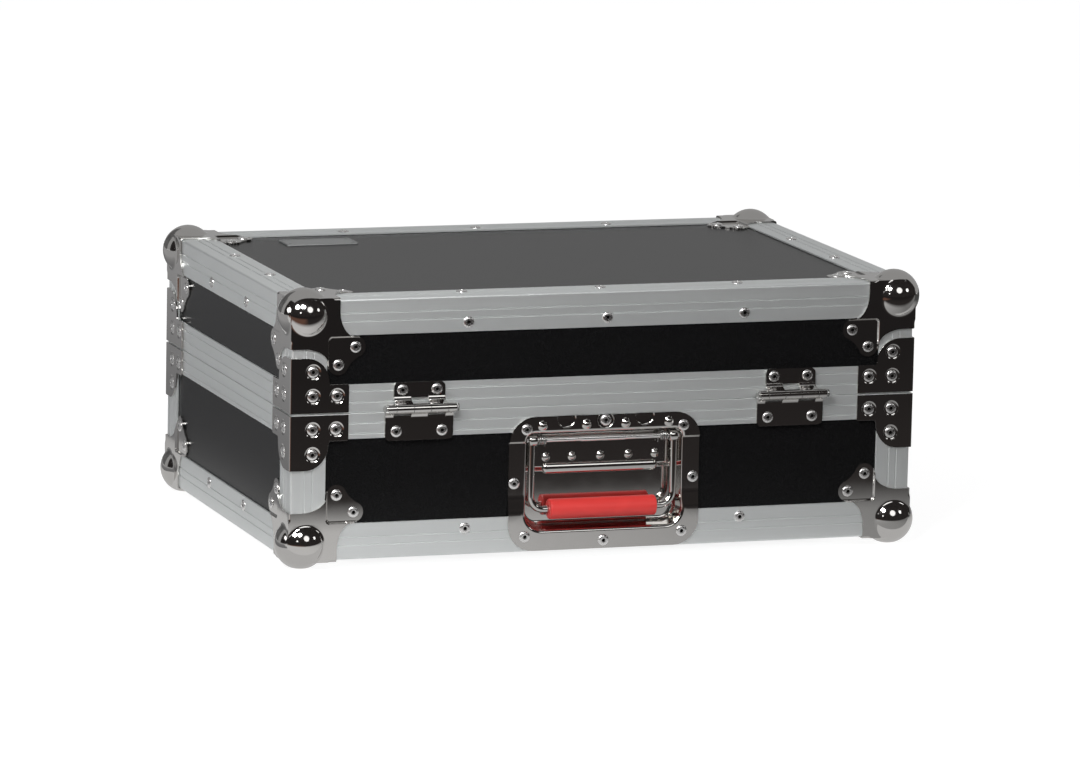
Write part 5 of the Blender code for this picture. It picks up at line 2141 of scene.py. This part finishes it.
@dataclass
class FoamLining:
    """Foam sheets glued in each half: a bed, and a wall along each side."""

    thickness: float = 0.010
    round: float = 0.0016
    joint: float = 0.0002
    cell: float = 0.02
    unevenness: float = 0.0002
    waves: tuple[float, float, float, float] = (61, 17, 73, 29)
    pan_high: float = 0.1000
    pan_depth: float = 0.0165

    def slab(self, low: Sequence[float], high: Sequence[float]) -> Form:
        """A sheet of foam between two corners, with soft edges and cells that can be dented.

        Args:
            low, high: the corners.

        Returns:
            It, as a form.
        """
        form = Form()
        bmesh.ops.create_cube(form.bm, size=1.0)
        for vert in form.bm.verts:
            vert.co = Vector([a if c < 0 else b for c, a, b in zip(vert.co, low, high)])
        form.bevel(self.round, 3)
        for axis in range(3):
            count = int((high[axis] - low[axis]) / self.cell)
            for i in range(1, count):
                at, normal = [0.0] * 3, [0.0] * 3
                at[axis] = low[axis] + (high[axis] - low[axis]) * i / count
                normal[axis] = 1.0
                form.cut(at, normal)
        return form

    def soften(self, form: Form, low: Sequence[float], high: Sequence[float]) -> None:
        """Dent and swell the faces a little, as cut foam does.

        Args:
            form: the sheet of foam.
            low, high: its corners.
        """
        a, b, c, d = self.waves
        for vert in form.bm.verts:
            x, y, z = vert.co
            wave = math.sin(a * x + b * z) + math.sin(c * y - d * x)
            inwards = [min(end - at, at - start) for at, start, end in zip(vert.co, low, high)]
            nearest = min(range(3), key=lambda axis: inwards[axis])
            middle = (low[nearest] + high[nearest]) / 2
            away = math.copysign(1.0, vert.co[nearest] - middle)
            vert.co[nearest] -= away * self.unevenness * (2 + wave) / 4

    def build(self) -> None:
        """The lining of both halves."""
        inner = CASE.inset + CASE.ply + CASE.gap
        x, y = CASE.width / 2 - inner, CASE.depth / 2 - inner
        t, j = self.thickness, self.joint
        for half in HALVES:
            floor = inner
            top = half.height - CASE.inner_flange - CASE.gap
            slabs = {"bed": ((-x, -y, floor), (x, y, floor + t)),
                     "front": ((-x, -y, floor + t + j), (x, -y + t, top)),
                     "back": ((-x, y - t, floor + t + j), (x, y, top)),
                     "side_a": ((-x, -y + t + j, floor + t + j), (-x + t, y - t - j, top)),
                     "side_b": ((x - t, -y + t + j, floor + t + j), (x, y - t - j, top))}
            for label, (low, high) in slabs.items():
                form = self.slab(low, high)
                self.soften(form, low, high)
                mesh = form.mesh("foam")
                if half.tongue and label in ("front", "bed"):
                    front = -CASE.depth / 2
                    wide, deep = CASE.pan_half, front + self.pan_depth
                    hole = Form().prism([(-wide, front - t), (wide, front - t), (wide, deep),
                                         (-wide, deep)], "Z", CASE.pan_low, self.pan_high)
                    mesh = carved(mesh, ("DIFFERENCE", hole.mesh("hole")))
                mesh.transform(half.world)
                piece = deliver(mesh, f"{half.name}_foam_{label}", CellFoam(), half.name,
                                [f"{half.name}_foam_liner"])


@dataclass
class LidPlate:
    """A bare metal plate on the lid, fixed by four small rivets."""

    centre: Flat = (-0.156, 0.1230)
    half: Flat = (0.032, 0.0145)
    corner: float = 0.002
    thickness: float = 0.0012
    slope: float = 0.0005
    border: float = 0.0011
    border_run: float = 0.0004
    sunk: float = 0.0003
    edge_bevel: float = 0.00035
    fixing: float = 0.0019
    fixing_height: float = 0.0010
    fixing_skirt: float = 0.0002
    fixing_inset: float = 0.0040

    def build(self) -> None:
        """The plate and its fixings."""
        top = CASE.seam + CASE.lid_height - CASE.inset
        (x, y), (half_x, half_y) = self.centre, self.half
        outline = rounded_rectangle(x - half_x, x + half_x, y - half_y, y + half_y,
                                    self.corner, self.corner, 6)
        form = Form().prism(outline, "Z", top, top + self.thickness).merge()
        for vert in form.bm.verts:
            if vert.co.z > top + self.thickness / 2:
                vert.co.x -= math.copysign(self.slope, vert.co.x - x)
                vert.co.y -= math.copysign(self.slope, vert.co.y - y)
        face = max(form.bm.faces, key=lambda f: f.calc_center_median().z)
        for across, depth in ((self.border, 0.0), (self.border_run, -self.sunk)):
            bmesh.ops.inset_region(form.bm, faces=[face], thickness=across, depth=depth,
                                   use_even_offset=True)
        form.bevel(self.edge_bevel, 2, 60.0)
        fixing = bump(self.fixing, self.fixing_height, self.fixing_skirt)
        inset = self.fixing_inset
        for sx in (-1, 1):
            for sy in (-1, 1):
                spot = (x + sx * (half_x - inset), y + sy * (half_y - inset),
                        top + self.thickness - self.sunk)
                form.add(fixing, Matrix.Translation(spot))
        deliver(form.mesh("plate"), "lid_bare_plate", PlateMetal(), "lid")


# The studio

Tone = Union[Colour, Callable[[Graph], Signal]]


@dataclass
class Studio:
    """Camera, floor, light and what the plating reflects.

    Attributes:
        position: of the camera; right, up and forward are its axes.
        ambient: strength of the light from all round.
        floor_glow: share of the floor's own light, where it is seen.
        pale_edge: where the pale floor in front ends, along Y.
        dark_run: where the floor beyond it darkens; warm_run, its brown part.
        warm_side: where the brown part starts, along X.
        pale_fade: where the pale floor darkens to the right.
        near_right: where the floor at the right darkens; near_back, behind the case.
        side_run: where the floor at the left turns pale.
        card_start: where the card in front starts, along Y; side_edge, at the left.
        room: distance of the dark room; outer, of the pale one round it.
        lamps: place, size and power of each.
    """

    position: Place = (-1.86493, -5.50615, 1.12118)
    right: Place = (0.947833, -0.318076, 0.020987)
    up: Place = (0.034575, 0.168035, 0.985175)
    forward: Place = (0.316887, 0.933055, -0.170266)
    lens: float = 231.762
    sensor: float = 36.0
    clip: Flat = (0.1, 100.0)
    ambient: float = 0.38
    floor_half: float = 14.0
    floor_thickness: float = 0.02
    floor_colour: Colour = (0.70, 0.70, 0.70)
    floor_glow: float = 0.50
    floor_white: float = 1.73
    pale: Colour = (0.70, 0.70, 0.70)
    pale_right: Colour = (0.22, 0.22, 0.22)
    dim: Colour = (0.033, 0.029, 0.028)
    dimmer: Colour = (0.019, 0.017, 0.017)
    brown: Colour = (0.150, 0.080, 0.058)
    grey: Colour = (0.205, 0.205, 0.21)
    pale_grey: Colour = (0.40, 0.40, 0.405)
    wall: Colour = (0.08, 0.08, 0.08)
    haze: Colour = (0.38, 0.38, 0.38)
    lit_floor: Colour = (0.60, 0.60, 0.60)
    cloud_scale: float = 1.6
    cloud_levels: Flat = (0.3, 0.7)
    pale_edge: Flat = (-0.335, -0.455)
    dark_run: Flat = (-0.455, -1.10)
    warm_run: Flat = (-0.70, -1.20)
    warm_side: Flat = (-0.20, -0.36)
    pale_fade: Flat = (-0.25, 0.42)
    near_right: Flat = (0.34, 1.00)
    near_back: Flat = (0.26, 0.90)
    side_run: Flat = (-0.40, -0.75)
    card_start: float = -0.205
    card_level: float = 0.002
    side_edge: float = -0.34
    room: float = 4.0
    ceiling: float = 4.5
    ceiling_end: float = -1.0
    side_end: float = 1.3
    right_end: float = 0.3
    back_at: float = 3.0
    back_edge: float = -0.5
    back_low: float = 0.05
    outer: float = 5.0
    aim: Place = (0.0, 0.0, 0.11)
    lamps: tuple[tuple[Place, float, float], ...] = (
        ((-0.92, -0.80, 0.88), 0.34, 7.0),
        ((-0.54, -1.10, 1.00), 0.34, 11.5),
        ((-1.80, -0.24, 0.67), 0.56, 1.8),
        ((-1.20, -1.89, 0.65), 0.22, 0.3),
        ((0.61, -3.20, 1.69), 1.50, 8.5),
        ((1.50, -1.33, 0.86), 0.40, 0.9))

    def build_camera(self) -> None:
        """The camera, at the photograph's viewing angle."""
        data = bpy.data.cameras.new("camera")
        data.lens, data.sensor_width = self.lens, self.sensor
        data.clip_start, data.clip_end = self.clip
        camera = linked("camera", data)
        columns = Matrix((self.right, self.up, [-c for c in self.forward])).transposed()
        camera.matrix_world = Matrix.Translation(self.position) @ columns.to_4x4()
        bpy.context.scene.camera = camera

    def seen(self, graph: Graph) -> Signal:
        """One for the rays that show the white background, in metal and glass too.

        Args:
            graph: of the material or the world.

        Returns:
            The signal.
        """
        rays = [graph.node("ShaderNodeLightPath", {}, {}, f"Is {kind} Ray")
                for kind in ("Camera", "Glossy", "Transmission")]
        either = graph.math("MAXIMUM", rays[0], rays[1])
        return graph.math("MAXIMUM", either, rays[2])

    def build_world(self) -> None:
        """White where it is seen, a soft grey as light."""
        world = bpy.data.worlds.new("studio")
        bpy.context.scene.world = world
        graph = Graph(world)
        level = graph.node("ShaderNodeMapRange", {}, {
            "Value": self.seen(graph), "To Min": self.ambient, "To Max": 1.0}, "Result")
        graph.show(graph.node("ShaderNodeBackground", {}, {
            "Color": (1, 1, 1, 1), "Strength": level}))

    def build_floor(self) -> None:
        """A pale floor that keeps the soft shadow."""
        reach = self.floor_half
        outline = [(-reach, -reach), (reach, -reach), (reach, reach), (-reach, reach)]
        mesh = Form().prism(outline, "Z", -self.floor_thickness, 0.0).mesh("floor")
        floor = linked("floor", mesh)
        graph = Graph("floor")
        lit = graph.node("ShaderNodeBsdfDiffuse", {}, {"Color": (*self.floor_colour, 1)})
        glow = graph.node("ShaderNodeEmission", {}, {"Strength": self.floor_white})
        share = self.seen(graph) * self.floor_glow
        mix = graph.node("ShaderNodeMixShader", {}, {0: share, 1: lit, 2: glow})
        floor.data.materials.append(graph.show(mix))

    def floor_tone(self, graph: Graph) -> Signal:
        """The floor in front: pale by the case, then a dark room, browner at the left.

        Args:
            graph: of the card's material.

        Returns:
            The colour.
        """
        away, along = graph.axis("Y"), graph.axis("X")
        dark = graph.tint(graph.between(away, *self.dark_run), self.dim, self.dimmer)
        warm = graph.tint(graph.between(away, *self.warm_run), self.brown, self.dimmer)
        room = graph.tint(graph.between(along, *self.warm_side), dark, warm)
        pale = graph.tint(graph.between(along, *self.pale_fade), self.pale, self.pale_right)
        return graph.tint(graph.between(away, *self.pale_edge), pale, room)

    def clouded(self, graph: Graph, first: Colour, second: Colour) -> Signal:
        """Broad patches between two colours."""
        patches = graph.between(graph.noise(self.cloud_scale), *self.cloud_levels)
        return graph.tint(patches, first, second)

    def room_tone(self, graph: Graph) -> Signal:
        """The room behind the camera."""
        return self.clouded(graph, self.dimmer, self.dim)

    def near_tone(self, graph: Graph) -> Signal:
        """The lit floor round the case, which darkens further out."""
        away = graph.between(graph.axis("X"), *self.near_right) \
            + graph.between(graph.axis("Y"), *self.near_back)
        return graph.tint(away, self.lit_floor, self.wall)

    def side_tone(self, graph: Graph) -> Signal:
        """The floor at the left: a grey that is paler further out."""
        return graph.tint(graph.between(graph.axis("X"), *self.side_run), self.grey, self.pale_grey)

    def back_tone(self, graph: Graph) -> Signal:
        """A dim wall behind the case, at its left."""
        return self.clouded(graph, self.wall, self.grey)

    def build_card(self, name: str, corners: Sequence[Place], tone: Tone) -> None:
        """A card that only the plating sees, in place of the room round the case.

        Args:
            name: its name.
            corners: its four corners.
            tone: its colour, or a method that makes it.
        """
        form = Form()
        form.face(corners)
        mesh = form.mesh(name)
        card = linked(name, mesh)
        graph = Graph(name)
        colour = tone(graph) if callable(tone) else (*tone, 1)
        mesh.materials.append(graph.show(graph.node("ShaderNodeEmission", {}, {"Color": colour})))
        for ray in ("camera", "diffuse", "shadow", "transmission"):
            setattr(card, f"visible_{ray}", False)

    def build_level(self, name: str, start: Flat, end: Flat, height: float, tone: Tone) -> None:
        """A level card between two corners."""
        (left, front), (right, back) = start, end
        self.build_card(name, [(left, front, height), (right, front, height),
                               (right, back, height), (left, back, height)], tone)

    def build_upright(self, name: str, start: Flat, end: Flat, heights: Flat, tone: Tone) -> None:
        """An upright card along a line, between two heights."""
        low, high = heights
        self.build_card(name, [(*start, low), (*end, low), (*end, high), (*start, high)], tone)

    def build_cards(self) -> None:
        """The dark room, the floor near the case and the pale room outside it."""
        wide, low, out = self.room, self.card_level, self.outer
        near, side = self.card_start, self.side_edge
        heights = (0.0, self.ceiling)
        self.build_level("card_floor", (-wide, -wide), (wide, near), low, self.floor_tone)
        for name, start, end in (("card_front", (-wide, -wide), (wide, -wide)),
                                 ("card_side", (-wide, -wide), (-wide, self.side_end)),
                                 ("card_right", (wide, -wide), (wide, self.right_end))):
            self.build_upright(name, start, end, heights, self.room_tone)
        self.build_level("card_above", (-wide, -wide), (wide, self.ceiling_end), self.ceiling,
                         self.room_tone)
        self.build_level("card_left", (-wide, near), (side, wide), low, self.side_tone)
        self.build_upright("card_back", (-wide, self.back_at), (self.back_edge, self.back_at),
                           (self.back_low, self.back_at), self.back_tone)
        self.build_level("card_near", (side, near), (wide, wide), low, self.near_tone)
        ring = [(-out, -out), (out, -out), (out, out), (-out, out)]
        for index, (start, end) in enumerate(zip(ring, ring[1:] + ring[:1])):
            self.build_upright(f"card_wall_{index}", start, end, (0.0, out), self.haze)
        self.build_level("card_ceiling", ring[0], ring[2], out, self.haze)

    def build_lamp(self, name: str, at: Place, size: float, power: float) -> None:
        """A round soft lamp that points at the case.

        Args:
            name: its name.
            at: its place.
            size: its diameter.
            power: in watts.
        """
        data = bpy.data.lights.new(name, "AREA")
        data.shape, data.size, data.energy = "DISK", size, power
        lamp = linked(name, data)
        lamp.location = at
        aim = Vector(self.aim) - lamp.location
        lamp.rotation_euler = aim.to_track_quat("-Z", "Y").to_euler()
        lamp.visible_camera = False

    def build(self) -> None:
        """The whole studio."""
        bpy.context.scene.view_settings.view_transform = "Standard"
        self.build_camera()
        self.build_world()
        self.build_floor()
        self.build_cards()
        for index, (at, size, power) in enumerate(self.lamps):
            self.build_lamp(f"lamp_{index}", at, size, power)


def main() -> None:
    """Build every sub-assembly."""
    logging.basicConfig(level=logging.INFO, format="%(message)s")
    Studio().build()
    for part in (Boards(), EdgeTrim(), ClosingRims(), BallCorners(), CornerBraces(), StopHinges(),
                 RecessedHandle(), TwistLatches(), FoamLining(), LidPlate(), RIVETS):
        part.build()


if __name__ == "__main__":
    main()
